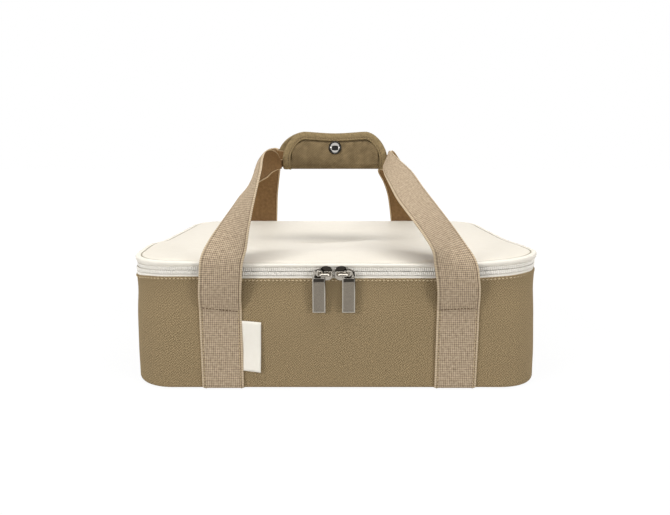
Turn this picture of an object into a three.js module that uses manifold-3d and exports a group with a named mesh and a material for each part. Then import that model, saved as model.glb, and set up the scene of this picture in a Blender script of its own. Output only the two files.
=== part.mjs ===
// Insulated casserole carrier: a padded tub with a zipped lid, two webbing handle loops and a snap grip.
// Millimetres, +Z up, +Y to the rear. The origin is under the middle of the base, on the table.

import * as THREE from 'three';
import { mergeVertices } from 'three/addons/utils/BufferGeometryUtils.js';
import Module from 'manifold-3d';

const wasm = await Module();
wasm.setup();

// Clearance between pieces that touch, and how far a cut reaches past the surface
const seatGap = 0.3;
const cutPast = 1;

// Body, measured at the rim
const rimLength = 396;
const rimDepth = 270;
const cornerRadius = 40;
const cornerSteps = 6;
const wallTop = 109.5;
const baseFlare = 4;
const footHeight = 5.2;
const footTurn = 2.4;

// Middle of the foot's turn, as shares of its width and its height
const turnShareIn = 0.2;
const turnShareUp = 0.4;

// Thickness of the layers
const fabricThickness = 1.2;
const wallFoam = 5;
const baseFoam = 5;
const lidFoam = 5;
const boardThickness = 2;
const linerThickness = 0.8;
const bindingThickness = 1.2;
const bindingWidth = 10;
const boardMargin = 9;
const foamDrop = 2.6;

// Zip
const zipHeight = 4.3;
const zipBand = 10.4;
const tapeThickness = 0.8;
const tapeTuck = 2.6;
const tapeInset = 1.5;
const coilHeight = 1.35;
const coilDepth = 1.2;

// Lid
const gussetHeight = 3.2;
const pipingRadius = 1.5;
const pipingOut = 0.3;
const pipingSides = 8;
const crownInset = 24;
const crownRise = 2.8;
const slopeInset = 62;
const slopeRise = 0.4;
const valleyInset = 106;
const valleyDrop = 2.6;

// Webbing
const webbingWidth = 40;
const webbingThickness = 2;
const strapInset = 86;
const strapShift = 4;
const stitchHeight = 79.4;
const foldRoom = 0.6;
const loopSteps = 81;

// Side tag
const tagHeight = 52;
const tagReach = 17;
const tagFoot = 16;
const tagThickness = 0.8;

// Grip
const gripWidth = 118.6;
const gripBottom = 206;
const gripHeight = 41.7;
const gripHalfDepth = 9.2;
const gripFold = 6;
const gripTopHalf = 4.5;
const foldShares = [[0.6, 0.05], [0.9, 0.4]];
const gripCorner = 22;
const gripDip = 2;
const gripFabric = 1.2;
const gripFoam = 1.5;
const gripBinding = 0.8;
const gripBindingWidth = 8;
const bundleHeight = 11.6;
const bundleThickness = 3.9;
const bundleOut = 1.5;
const turnOut = 5.7;
const turnBack = 5;
const frontTurn = 8.5;

// Snap, its middle below the top of the grip
const snapDrop = 18;
const snapCapRadius = 7.5;
const snapCapRise = 2.4;
const capRimShare = 0.3;
const capShoulder = [0.9, 0.75];
const capFlatShare = 0.6;
const snapRingRadius = 5;
const snapShankRadius = 1.8;
const snapHoleRadius = 2.6;
const socketThickness = 2.8;
const socketRecessRadius = 3.6;
const socketRecessDepth = 2.2;
const studBase = 1;
const studNeckRadius = 1.9;
const studKnobRadius = 2.5;
const studKnobHeight = 1.6;
const studPast = 0.4;
const roundSteps = 20;

// Zip sliders and pulls
const sliderMeet = -1.15;
const sliderSpace = 2.4;
const sliderLength = 16.5;
const sliderHeight = 11.8;
const sliderNose = 7.6;
const shoulderShare = 0.1;
const sliderPlate = 1.8;
const sliderFlange = 1.8;
const crownBar = 1.8;
const crownStand = 2.8;
const crownInner = 5.4;
const crownOuter = 7;
const pullOffset = 4.4;
const pullWidth = 12;
const pullLength = 36;
const pullThickness = 1.6;
const pullFrame = 1.6;
const pullRecess = 0.4;
const pullCorner = 2;
const knuckleWidth = 3;
const knuckleBore = 1.6;
const knuckleWall = 1.1;

// Finishes
const twillBrown = { color: 0x8e7b5d, roughness: 0.9, metalness: 0 };
const creamCloth = { color: 0xf3eee1, roughness: 0.85, metalness: 0 };
const tanWebbing = { color: 0xb49c7e, roughness: 0.9, metalness: 0 };
const whiteFoam = { color: 0xe9e9e6, roughness: 0.95, metalness: 0 };
const silverLiner = { color: 0xc9ccce, roughness: 0.4, metalness: 0.2 };
const greyBoard = { color: 0x4a4a4a, roughness: 0.7, metalness: 0 };
const brownTape = { color: 0x7d6c52, roughness: 0.9, metalness: 0 };
const creamZip = { color: 0xe9e3d4, roughness: 0.7, metalness: 0 };
const whiteTag = { color: 0xf1ede3, roughness: 0.7, metalness: 0 };
const darkNickel = { color: 0x6e6a64, roughness: 0.35, metalness: 1 };
const brightNickel = { color: 0xb9bcbe, roughness: 0.2, metalness: 1 };

const carrier = new THREE.Group();

function addPiece(name, geometry, finish) {
  const piece = new THREE.Mesh(geometry, new THREE.MeshStandardMaterial(finish));
  piece.name = name;
  carrier.add(piece);
  return piece;
}

// A closed mesh from points and triangles, turned so that its faces point out
function closedGeometry(points, triangles) {
  let volume = 0;
  for (const [i, j, k] of triangles) {
    volume += points[i].dot(points[j].clone().cross(points[k]));
  }
  const facing = volume > 0 ? triangles : triangles.map(([i, j, k]) => [i, k, j]);
  const geometry = new THREE.BufferGeometry().setFromPoints(points);
  geometry.setIndex(facing.flat());
  geometry.computeVertexNormals();
  return geometry;
}

// Boolean joins and cuts
function toSolid(geometry) {
  const bare = geometry.clone();
  bare.deleteAttribute('normal');
  bare.deleteAttribute('uv');
  const merged = mergeVertices(bare, 1e-4);
  return new wasm.Manifold(new wasm.Mesh({
    numProp: 3,
    vertProperties: new Float32Array(merged.attributes.position.array),
    triVerts: new Uint32Array(merged.index.array),
  }));
}

function toGeometry(solid) {
  const made = solid.getMesh();
  const geometry = new THREE.BufferGeometry();
  geometry.setAttribute('position', new THREE.BufferAttribute(made.vertProperties, 3));
  geometry.setIndex(new THREE.BufferAttribute(made.triVerts, 1));
  geometry.computeVertexNormals();
  return geometry;
}

// The rounded outline of the carrier, from the right end of the rear edge clockwise to its left end.
// out is how far it stands outside the rim's own outline.
const leastRadius = 6;

function outlineAt(out) {
  const reachX = rimLength / 2 + out;
  const reachY = rimDepth / 2 + out;
  const radius = Math.max(cornerRadius + out, leastRadius);
  const corners = [[1, 1, 90], [1, -1, 0], [-1, -1, -90], [-1, 1, -180]];
  const points = [];
  for (const [sideX, sideY, startAngle] of corners) {
    for (let step = 0; step <= cornerSteps; step++) {
      const angle = THREE.MathUtils.degToRad(startAngle - 90 * step / cornerSteps);
      points.push(new THREE.Vector2(
        sideX * (reachX - radius) + radius * Math.cos(angle),
        sideY * (reachY - radius) + radius * Math.sin(angle),
      ));
    }
  }
  return points;
}

// A band whose section, in [out, z], runs right round the outline or from one end of the rear edge to the other
function band(section, allRound) {
  const outlines = section.map(([out]) => outlineAt(out));
  const stations = outlines[0].length;
  const corners = section.length;
  const points = [];
  for (let station = 0; station < stations; station++) {
    section.forEach(([, z], corner) => {
      const place = outlines[corner][station];
      points.push(new THREE.Vector3(place.x, place.y, z));
    });
  }
  const triangles = [];
  const runs = allRound ? stations : stations - 1;
  for (let run = 0; run < runs; run++) {
    const here = run * corners;
    const next = ((run + 1) % stations) * corners;
    for (let corner = 0; corner < corners; corner++) {
      const beside = (corner + 1) % corners;
      triangles.push([here + corner, here + beside, next + beside]);
      triangles.push([here + corner, next + beside, next + corner]);
    }
  }
  if (!allRound) {
    const last = (stations - 1) * corners;
    for (let corner = 1; corner + 1 < corners; corner++) {
      triangles.push([0, corner + 1, corner]);
      triangles.push([last, last + corner, last + corner + 1]);
    }
  }
  return closedGeometry(points, triangles);
}

// A closed plate or cup from outlines at [out, z], capped at the first and the last
function tray(profile) {
  const points = [];
  const triangles = [];
  profile.forEach(([out, z]) => {
    outlineAt(out).forEach((place) => points.push(new THREE.Vector3(place.x, place.y, z)));
  });
  const stations = points.length / profile.length;
  for (let level = 0; level + 1 < profile.length; level++) {
    for (let station = 0; station < stations; station++) {
      const beside = (station + 1) % stations;
      const low = level * stations;
      const high = low + stations;
      triangles.push([low + station, low + beside, high + beside]);
      triangles.push([low + station, high + beside, high + station]);
    }
  }
  const first = points.push(new THREE.Vector3(0, 0, profile[0][1])) - 1;
  const last = points.push(new THREE.Vector3(0, 0, profile.at(-1)[1])) - 1;
  const top = (profile.length - 1) * stations;
  for (let station = 0; station < stations; station++) {
    const beside = (station + 1) % stations;
    triangles.push([first, beside, station]);
    triangles.push([last, top + station, top + beside]);
  }
  return closedGeometry(points, triangles);
}

// Flat outlines pulled into solids: sideways along X from points in [y, z], or front to back from shapes in X and Z
const alongX = new THREE.Matrix4().makeBasis(
  new THREE.Vector3(0, 1, 0), new THREE.Vector3(0, 0, 1), new THREE.Vector3(1, 0, 0),
);
const alongY = new THREE.Matrix4().makeBasis(
  new THREE.Vector3(1, 0, 0), new THREE.Vector3(0, 0, 1), new THREE.Vector3(0, -1, 0),
);

function pullAlongX(shape, fromX, toX) {
  const geometry = new THREE.ExtrudeGeometry(shape, {
    depth: toX - fromX, bevelEnabled: false, curveSegments: roundSteps / 2,
  });
  return geometry.applyMatrix4(alongX).translate(fromX, 0, 0);
}

function pullAlongY(shape, frontY, rearY) {
  const geometry = new THREE.ExtrudeGeometry(shape, {
    depth: rearY - frontY, bevelEnabled: false, curveSegments: roundSteps / 4,
  });
  return geometry.applyMatrix4(alongY).translate(0, rearY, 0);
}

function polygon(points) {
  return new THREE.Shape(points.map(([x, y]) => new THREE.Vector2(x, y)));
}

function roundedRectangle(centreX, low, width, height, radius) {
  const left = centreX - width / 2;
  const right = centreX + width / 2;
  const high = low + height;
  const shape = new THREE.Shape();
  shape.moveTo(left + radius, low);
  shape.absarc(right - radius, low + radius, radius, -Math.PI / 2, 0);
  shape.absarc(right - radius, high - radius, radius, 0, Math.PI / 2);
  shape.absarc(left + radius, high - radius, radius, Math.PI / 2, Math.PI);
  shape.absarc(left + radius, low + radius, radius, Math.PI, 1.5 * Math.PI);
  return shape;
}

// A turned piece whose profile, in [radius, along], lies along a direction from a point
function turned(profile, place, direction) {
  const geometry = new THREE.LatheGeometry(profile.map(([r, a]) => new THREE.Vector2(r, a)), roundSteps);
  const turn = new THREE.Quaternion().setFromUnitVectors(new THREE.Vector3(0, 1, 0), direction);
  return closedLathe(geometry).applyQuaternion(turn).translate(place.x, place.y, place.z);
}

function closedLathe(geometry) {
  const bare = geometry.clone();
  bare.deleteAttribute('normal');
  bare.deleteAttribute('uv');
  const merged = mergeVertices(bare, 1e-4);
  const place = merged.attributes.position;
  const points = [];
  for (let n = 0; n < place.count; n++) {
    points.push(new THREE.Vector3().fromBufferAttribute(place, n));
  }
  const triangles = [];
  const index = merged.index.array;
  for (let n = 0; n < index.length; n += 3) {
    const corners = [index[n], index[n + 1], index[n + 2]];
    if (new Set(corners).size === 3) {
      triangles.push(corners);
    }
  }
  return closedGeometry(points, triangles);
}

// Heights that the layers of the body share
const halfDepth = rimDepth / 2;
const baseUnder = webbingThickness + seatGap;
const baseTop = baseUnder + fabricThickness;
const boardUnder = baseTop + seatGap;
const padUnder = boardUnder + boardThickness + seatGap;
const padTop = padUnder + baseFoam;
const floorUnder = padTop + seatGap;
const foamTop = wallTop - foamDrop;

function wallOutAt(z) {
  return baseFlare * (wallTop - z) / (wallTop - footHeight);
}

// How far each layer's outer face lies inside the wall's outer face
const foamDepth = fabricThickness + seatGap;
const linerDepth = foamDepth + wallFoam + seatGap;
const linerInner = linerDepth + linerThickness;

// Outer wall: straight up from the foot, turned under to the base seam
const turnIn = turnShareIn * footTurn;
const turnHeight = baseUnder + turnShareUp * (footHeight - baseUnder);
addPiece('body_outer_wall', band([
  [baseFlare - footTurn, baseUnder],
  [baseFlare - turnIn, turnHeight],
  [baseFlare, footHeight],
  [0, wallTop],
  [-fabricThickness, wallTop],
  [baseFlare - fabricThickness, footHeight],
  [baseFlare - turnIn - fabricThickness, turnHeight + fabricThickness],
  [baseFlare - footTurn, baseTop],
], true), twillBrown);

const panelEdge = baseFlare - footTurn - seatGap;
addPiece('base_outer_panel', tray([[panelEdge, baseUnder], [panelEdge, baseTop]]), twillBrown);

const boardEdge = baseFlare - boardMargin;
addPiece('base_stiffener_board', tray([
  [boardEdge, boardUnder], [boardEdge, boardUnder + boardThickness],
]), greyBoard);

const foamFoot = footHeight + seatGap;
addPiece('body_foam_wall', band([
  [wallOutAt(foamFoot) - foamDepth, foamFoot],
  [wallOutAt(foamTop) - foamDepth, foamTop],
  [wallOutAt(foamTop) - foamDepth - wallFoam, foamTop],
  [wallOutAt(foamFoot) - foamDepth - wallFoam, foamFoot],
], true), whiteFoam);

const padEdge = wallOutAt(padTop) - linerDepth;
addPiece('base_foam_pad', tray([[padEdge, padUnder], [padEdge, padTop]]), whiteFoam);

addPiece('body_liner', tray([
  [wallOutAt(floorUnder) - linerDepth, floorUnder],
  [wallOutAt(foamTop) - linerDepth, foamTop],
  [wallOutAt(foamTop) - linerInner, foamTop],
  [wallOutAt(floorUnder) - linerInner, floorUnder + linerThickness],
]), silverLiner);

// Binding over the rim: it caps foam and liner and hangs down inside
const bindingUnder = foamTop + seatGap;
const bindingTop = bindingUnder + bindingThickness;
const bindingFoot = foamTop - bindingWidth;
const capOut = -(tapeInset + tapeThickness + seatGap);
const bindingInner = linerInner + seatGap;
addPiece('body_rim_binding', band([
  [capOut, bindingUnder],
  [capOut, bindingTop],
  [wallOutAt(foamTop) - bindingInner - bindingThickness, bindingTop],
  [wallOutAt(bindingFoot) - bindingInner - bindingThickness, bindingFoot],
  [wallOutAt(bindingFoot) - bindingInner, bindingFoot],
  [wallOutAt(foamTop) - bindingInner, bindingUnder],
], true), brownTape);

// Zip: tape and coil on the body, tape and coil on the lid, from one end of the rear hinge to the other
const zipCentre = wallTop + zipHeight;
const gussetUnder = wallTop + zipBand;
const coilInner = seatGap / 2;
const tapeFace = -tapeInset;
const tapeBack = -tapeInset - tapeThickness;
const coilFace = tapeFace + seatGap + coilDepth;

function zipBandSection(inner, outer, low, high) {
  return [[outer, low], [outer, high], [inner, high], [inner, low]];
}

const tapeFoot = wallTop - tapeTuck + bindingThickness;
addPiece('body_zip_tape', band(
  zipBandSection(tapeBack, tapeFace, tapeFoot, zipCentre - coilInner), false,
), creamZip);
addPiece('body_zip_coil', band(
  zipBandSection(tapeFace + seatGap, coilFace, zipCentre - coilInner - coilHeight, zipCentre - coilInner), false,
), creamZip);
addPiece('lid_zip_tape', band(
  zipBandSection(tapeBack, tapeFace, zipCentre + coilInner, gussetUnder + tapeTuck), false,
), creamZip);
addPiece('lid_zip_coil', band(
  zipBandSection(tapeFace + seatGap, coilFace, zipCentre + coilInner, zipCentre + coilInner + coilHeight), false,
), creamZip);

// Fabric hinge along the rear edge, between the two ends of the zip
const hingeHalf = rimLength / 2 - cornerRadius - seatGap;
addPiece('rear_hinge_panel', pullAlongX(polygon([
  [halfDepth - fabricThickness, wallTop + seatGap],
  [halfDepth, wallTop + seatGap],
  [halfDepth, gussetUnder - seatGap],
  [halfDepth - fabricThickness, gussetUnder - seatGap],
]), -hingeHalf, hingeHalf), creamCloth);

// Lid: gusset, piping and a soft top that rises inside the piping and sinks in the middle
const gussetTop = gussetUnder + gussetHeight;
addPiece('lid_gusset', band([
  [0, gussetUnder], [0, gussetTop], [-fabricThickness, gussetTop], [-fabricThickness, gussetUnder],
], true), creamCloth);

const pipingHeight = gussetTop + seatGap + pipingRadius;
const pipingSection = [];
for (let side = 0; side < pipingSides; side++) {
  const angle = 2 * Math.PI * side / pipingSides;
  pipingSection.push([
    pipingOut + pipingRadius * Math.cos(angle), pipingHeight + pipingRadius * Math.sin(angle),
  ]);
}
addPiece('lid_piping', band(pipingSection, true), creamCloth);

const topEdge = pipingHeight;
const topInset = pipingRadius - pipingOut + seatGap;
const layerInset = tapeInset + tapeThickness + seatGap;

function lidLayer(edgeInset, depth, thickness) {
  const surface = [
    [-edgeInset, topEdge],
    [-crownInset, topEdge + crownRise],
    [-slopeInset, topEdge + slopeRise],
    [-valleyInset, topEdge - valleyDrop],
  ].map(([out, z]) => [out, z - depth]);
  const underside = surface.map(([out, z]) => [out, z - thickness]).reverse();
  return tray([...underside, ...surface]);
}

const lidFoamDepth = fabricThickness + seatGap;
const lidLinerDepth = lidFoamDepth + lidFoam + seatGap;
addPiece('lid_top_panel', lidLayer(topInset, 0, fabricThickness), creamCloth);
addPiece('lid_foam', lidLayer(layerInset, lidFoamDepth, lidFoam), whiteFoam);
addPiece('lid_liner', lidLayer(layerInset, lidLinerDepth, linerThickness), silverLiner);

const lidBindingTop = topEdge - lidLinerDepth - linerThickness - seatGap;
addPiece('lid_rim_binding', band([
  [-layerInset, lidBindingTop - bindingThickness],
  [-layerInset, lidBindingTop],
  [-layerInset - bindingWidth, lidBindingTop],
  [-layerInset - bindingWidth, lidBindingTop - bindingThickness],
], true), brownTape);

// Webbing sewn to the body: down the front face, under the base and up the rear face
function offsetPath(path, distance) {
  return path.map(([y, z], n) => {
    const here = new THREE.Vector2(y, z);
    const before = new THREE.Vector2(...path[Math.max(n - 1, 0)]);
    const after = new THREE.Vector2(...path[Math.min(n + 1, path.length - 1)]);
    const into = here.clone().sub(before).normalize();
    const away = after.clone().sub(here).normalize();
    const along = into.clone().add(away).normalize();
    const shortening = Math.max(along.dot(into), along.dot(away));
    return [y + along.y * distance / shortening, z - along.x * distance / shortening];
  });
}

function thinStrip(path, from, to) {
  return polygon([...offsetPath(path, to), ...offsetPath(path, from).reverse()]);
}

const sewnTop = stitchHeight - seatGap;
const frontRun = [
  [-halfDepth - wallOutAt(sewnTop), sewnTop],
  [-halfDepth - baseFlare, footHeight],
  [-halfDepth - baseFlare + turnIn, turnHeight],
  [-halfDepth - baseFlare + footTurn, baseUnder],
];
const strapRun = [...frontRun, ...frontRun.map(([y, z]) => [-y, z]).reverse()];
const strapReach = rimLength / 2 - strapInset;
const leftStrap = strapShift - strapReach;
const rightStrap = strapShift + strapReach;
for (const [name, centre] of [['strap_left_sewn', leftStrap], ['strap_right_sewn', rightStrap]]) {
  addPiece(name, pullAlongX(
    thinStrip(strapRun, seatGap, seatGap + webbingThickness), centre - webbingWidth / 2, centre + webbingWidth / 2,
  ), tanWebbing);
}

// Side tag: it stands out from under the left strap's inner edge and lies on the front face
const tagStart = leftStrap + webbingWidth / 2 + seatGap;
addPiece('side_tag', pullAlongX(thinStrip([
  [-halfDepth - wallOutAt(tagFoot + tagHeight), tagFoot + tagHeight],
  [-halfDepth - wallOutAt(tagFoot), tagFoot],
], seatGap, seatGap + tagThickness), tagStart, tagStart + tagReach), whiteTag);

// Handle loops: each station gives the webbing's middle, the way across it, its width and its thickness.
// A loop stays on its own side of the grip's middle.
// Both legs leave the face upright, lean in over the lid and are gathered into the grip.
const legStart = stitchHeight + foldRoom;
const legFace = halfDepth + wallOutAt(legStart) + seatGap + webbingThickness / 2;
const bundleMiddle = gripBottom + gripFabric + gripFoam + 3 * seatGap + bundleHeight / 2;
const bundleY = seatGap + bundleThickness / 2;
const bundleEnd = gripWidth / 2 + bundleOut;
const loopRise = bundleMiddle - stitchHeight;

function loopGeometry(side, stations) {
  const lowEdge = [];
  const highEdge = [];
  const thickness = [];
  for (const { at, across, width, thick } of stations) {
    const middle = new THREE.Vector3(...at);
    const half = new THREE.Vector3(...across).normalize().multiplyScalar(width / 2);
    lowEdge.push(middle.clone().sub(half));
    highEdge.push(middle.clone().add(half));
    thickness.push(new THREE.Vector3(thick, 0, 0));
  }
  const curves = [lowEdge, highEdge, thickness].map(
    (points) => new THREE.CatmullRomCurve3(points, false, 'centripetal'),
  );
  const points = [];
  for (let step = 0; step <= loopSteps; step++) {
    const share = step / loopSteps;
    const [low, high, thick] = curves.map((curve) => curve.getPoint(share));
    const nearest = seatGap + thick.x / 2;
    low.y = side * Math.max(side * low.y, nearest);
    high.y = side * Math.max(side * high.y, nearest);
    const tangent = curves[0].getTangent(share).add(curves[1].getTangent(share)).normalize();
    const outward = high.clone().sub(low).cross(tangent).normalize().multiplyScalar(thick.x / 2);
    points.push(low.clone().sub(outward), high.clone().sub(outward));
    points.push(high.clone().add(outward), low.clone().add(outward));
  }
  const triangles = [[0, 2, 1], [0, 3, 2]];
  for (let step = 0; step < loopSteps; step++) {
    for (let corner = 0; corner < 4; corner++) {
      const here = 4 * step + corner;
      const beside = 4 * step + (corner + 1) % 4;
      triangles.push([here, beside, beside + 4], [here, beside + 4, here + 4]);
    }
  }
  const end = 4 * loopSteps;
  triangles.push([end, end + 1, end + 2], [end, end + 2, end + 3]);
  return closedGeometry(points, triangles);
}

// A place as shares: of the way out to a strap, of the way back to the rim, and of the way up to the grip
function place(out, back, up) {
  return [out * strapReach, back * halfDepth, stitchHeight + up * loopRise];
}

function station(at, across, widthShare = 1, thickShare = 1) {
  return { at, across, width: widthShare * webbingWidth, thick: thickShare * webbingThickness };
}

function gathered(x, side) {
  return { at: [x, side * bundleY, bundleMiddle], across: [0, 0, 1], width: bundleHeight, thick: bundleThickness };
}

// Front loop: both legs turn their faces outward as they lean in; the left one comes to the grip on its edge
addPiece('front_handle_webbing', loopGeometry(-1, [
  station([leftStrap, -legFace, legStart], [1, 0, 0]),
  station(place(-0.955, -1.041, 0.115), [1, 0, 0]),
  station(place(-0.942, -1.05, 0.225), [1, 0, 0]),
  station(place(-0.924, -1.056, 0.357), [0.99, -0.06, -0.08]),
  station(place(-0.884, -1.037, 0.453), [0.95, -0.24, -0.11]),
  station(place(-0.835, -1.004, 0.56), [0.82, -0.52, -0.12]),
  station(place(-0.777, -0.952, 0.685), [0.66, -0.74, 0.02]),
  station(place(-0.728, -0.863, 0.806), [0.5, -0.85, 0.16]),
  station(place(-0.688, -0.741, 0.916), [0.35, -0.88, 0.32], 0.925),
  station(place(-0.674, -0.6, 0.975), [0.22, -0.8, 0.55], 0.85),
  station(place(-0.652, -0.43, 0.99), [0.1, -0.6, 0.8], 0.75),
  station(place(-0.621, -0.237, 1.004), [0.07, -0.37, 0.93], 0.625, 1.2),
  station([-bundleEnd - turnOut, -turnBack, bundleMiddle + bundleOut], [0, 0, 1], 0.425, 1.8),
  gathered(-bundleEnd, -1),
  gathered(0, -1),
  gathered(bundleEnd, -1),
  station([bundleEnd + turnOut, -turnBack, bundleMiddle + bundleOut], [0.2, 0, 1], 0.425, 1.7),
  station(
    [bundleEnd + turnOut - bundleOut, -turnBack - frontTurn, bundleMiddle + 2 * bundleOut],
    [0.35, 0.3, 0.88], 0.5, 1.2,
  ),
  station(place(0.563, -0.275, 0.972), [0.67, 0.45, 0.57], 0.65),
  station(place(0.6, -0.526, 0.905), [0.79, 0.44, 0.38], 0.85),
  station(place(0.655, -0.756, 0.792), [0.83, 0.44, 0.28], 0.95),
  station(place(0.728, -0.907, 0.689), [0.83, 0.43, 0.26]),
  station(place(0.825, -1.007, 0.574), [0.83, 0.42, 0.26]),
  station(place(0.916, -1.056, 0.46), [0.9, 0.3, 0.2]),
  station(place(0.982, -1.067, 0.343), [0.99, 0.06, 0.08]),
  station(place(1.013, -1.052, 0.21), [1, 0, 0]),
  station(place(1.027, -1.041, 0.115), [1, 0, 0]),
  station([rightStrap, -legFace, legStart], [1, 0, 0]),
]), tanWebbing);

// Rear loop: its outer edge runs along the top
addPiece('rear_handle_webbing', loopGeometry(1, [
  station([leftStrap, legFace, legStart], [-1, 0, 0]),
  station(place(-0.955, 1.048, 0.151), [-1, 0, 0]),
  station(place(-0.942, 1.074, 0.313), [-1, 0, 0]),
  station(place(-0.933, 1.089, 0.49), [-1, 0, 0.05]),
  station(place(-0.92, 1.067, 0.651), [-1, 0, 0.15]),
  station(place(-0.875, 0.978, 0.806), [-0.95, 0, 0.3], 0.95),
  station(place(-0.804, 0.785, 0.931), [-0.85, 0, 0.5], 0.85),
  station(place(-0.714, 0.489, 0.997), [-0.6, 0, 0.8], 0.725, 1.1),
  station(place(-0.643, 0.2, 1.019), [-0.25, 0, 0.95], 0.575, 1.4),
  station([-bundleEnd - turnOut, turnBack, bundleMiddle + bundleOut], [0, 0, 1], 0.425, 1.8),
  gathered(-bundleEnd, 1),
  gathered(0, 1),
  gathered(bundleEnd, 1),
  station([bundleEnd + turnOut, turnBack, bundleMiddle + bundleOut], [0, 0, 1], 0.425, 1.8),
  station(place(0.594, 0.2, 1.019), [0.25, 0, 0.95], 0.575, 1.4),
  station(place(0.589, 0.489, 0.997), [0.6, 0, 0.8], 0.725, 1.1),
  station(place(0.661, 0.785, 0.931), [0.85, 0, 0.5], 0.85),
  station(place(0.777, 0.978, 0.806), [0.95, 0, 0.3], 0.95),
  station(place(0.857, 1.067, 0.651), [1, 0, 0.15]),
  station(place(0.893, 1.089, 0.49), [1, 0, 0.05]),
  station(place(0.92, 1.074, 0.313), [1, 0, 0]),
  station(place(0.973, 1.048, 0.151), [1, 0, 0]),
  station([rightStrap, legFace, legStart], [1, 0, 0]),
]), tanWebbing);

// Grip wrap: a back panel folded under the webbing, and a front flap hinged at the fold.
// Points of its section at a depth below its outer face.
const gripTop = gripBottom + gripHeight;
const gripHinge = gripBottom + gripFold;
const snapHeight = gripTop - snapDrop;
const leanSlope = (gripHalfDepth - gripTopHalf) / (gripTop - gripHinge);
const gripLayers = gripFabric + seatGap + gripFoam;

function faceY(depth, z) {
  return gripHalfDepth - depth - leanSlope * (z - gripHinge);
}

function foldPoints(depth) {
  const quarter = [[0, 0], ...foldShares, [1, 1]].map(([out, up]) => [
    out * (gripHalfDepth - depth), gripBottom + up * gripFold + (1 - up) * depth,
  ]);
  return [...quarter.slice(1).map(([y, z]) => [-y, z]).reverse(), ...quarter];
}

function backSection(from, to) {
  const outer = [...foldPoints(from), [faceY(from, gripTop), gripTop]];
  const inner = [...foldPoints(to), [faceY(to, gripTop), gripTop]];
  return polygon([...outer, ...inner.reverse()]);
}

function plateSection(side, from, to, low) {
  return polygon([
    [side * faceY(from, low), low],
    [side * faceY(from, gripTop), gripTop],
    [side * faceY(to, gripTop), gripTop],
    [side * faceY(to, low), low],
  ]);
}

// The wrap's outline from the front: round upper corners and a dip in the middle of the top edge
function gripOutline(margin) {
  const half = gripWidth / 2 - margin;
  const high = gripTop - margin;
  const radius = gripCorner - margin;
  const low = gripBottom - seatGap - margin;
  const shape = new THREE.Shape();
  shape.moveTo(-half, low);
  shape.lineTo(half, low);
  shape.absarc(half - radius, high - radius, radius, 0, Math.PI / 2);
  shape.quadraticCurveTo(0, high - 2 * gripDip, radius - half, high);
  shape.absarc(radius - half, high - radius, radius, Math.PI / 2, Math.PI);
  return shape;
}

function snapHole() {
  return new THREE.Path().absarc(0, snapHeight, snapHoleRadius, 0, 2 * Math.PI);
}

const wrapReach = gripHalfDepth + 2 * gripBinding;
const flapLow = gripHinge + seatGap;

function wrapPiece(section, outline) {
  const run = toSolid(pullAlongX(section, -gripWidth / 2, gripWidth / 2));
  return run.intersect(toSolid(pullAlongY(outline, -wrapReach, wrapReach)));
}

function bindingPiece(side) {
  const strip = wrapPiece(plateSection(side, -seatGap - gripBinding, -seatGap, flapLow), gripOutline(0));
  return strip.subtract(toSolid(pullAlongY(gripOutline(gripBindingWidth), -wrapReach, wrapReach)));
}

const holedOutline = gripOutline(0);
holedOutline.holes.push(snapHole());
const paddedOutline = gripOutline(gripBindingWidth / 4);
paddedOutline.holes.push(snapHole());

const foamFrom = gripFabric + seatGap;

function gripLayer(side, from, to, outline) {
  return toGeometry(wrapPiece(plateSection(side, from, to, flapLow), outline));
}

addPiece('grip_back_panel', toGeometry(wrapPiece(backSection(0, gripFabric), holedOutline)), twillBrown);
addPiece('grip_back_padding', gripLayer(1, foamFrom, gripLayers, paddedOutline), whiteFoam);
addPiece('grip_back_binding', toGeometry(bindingPiece(1)), brownTape);
addPiece('grip_front_flap', gripLayer(-1, 0, gripFabric, holedOutline), twillBrown);
addPiece('grip_flap_padding', gripLayer(-1, foamFrom, gripLayers, paddedOutline), whiteFoam);
addPiece('grip_flap_binding', toGeometry(bindingPiece(-1)), brownTape);

// Snap: cap and socket on the flap, stud and post on the back panel
const leanAngle = Math.atan(leanSlope);
const frontOut = new THREE.Vector3(0, -Math.cos(leanAngle), Math.sin(leanAngle));
const rearOut = new THREE.Vector3(0, Math.cos(leanAngle), Math.sin(leanAngle));
const snapFront = new THREE.Vector3(0, -faceY(0, snapHeight), snapHeight);
const snapRear = new THREE.Vector3(0, faceY(0, snapHeight), snapHeight);
const shankEnd = -gripLayers;

addPiece('snap_cap', turned([
  [0, shankEnd], [snapShankRadius, shankEnd], [snapShankRadius, seatGap], [snapCapRadius, seatGap],
  [snapCapRadius, seatGap + capRimShare * snapCapRise],
  [capShoulder[0] * snapCapRadius, seatGap + capShoulder[1] * snapCapRise],
  [capFlatShare * snapCapRadius, seatGap + snapCapRise], [0, seatGap + snapCapRise],
], snapFront, frontOut), brightNickel);

const socketTop = -gripLayers - seatGap;
const socketMouth = socketTop - socketThickness;
addPiece('snap_socket', turned([
  [0, socketMouth + socketRecessDepth], [socketRecessRadius, socketMouth + socketRecessDepth],
  [socketRecessRadius, socketMouth], [snapRingRadius, socketMouth],
  [snapRingRadius, socketTop], [0, socketTop],
], snapFront, frontOut), brightNickel);

const studTop = -gripLayers - seatGap;
const studFoot = studTop - studBase;
const studReach = faceY(0, snapHeight) + studKnobHeight + studPast;
addPiece('snap_stud', turned([
  [0, -studReach], [studKnobRadius, -studReach], [studKnobRadius, studKnobHeight - studReach],
  [studNeckRadius, studKnobHeight - studReach], [studNeckRadius, studFoot],
  [snapRingRadius, studFoot], [snapRingRadius, studTop], [0, studTop],
], snapRear, rearOut), brightNickel);

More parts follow.
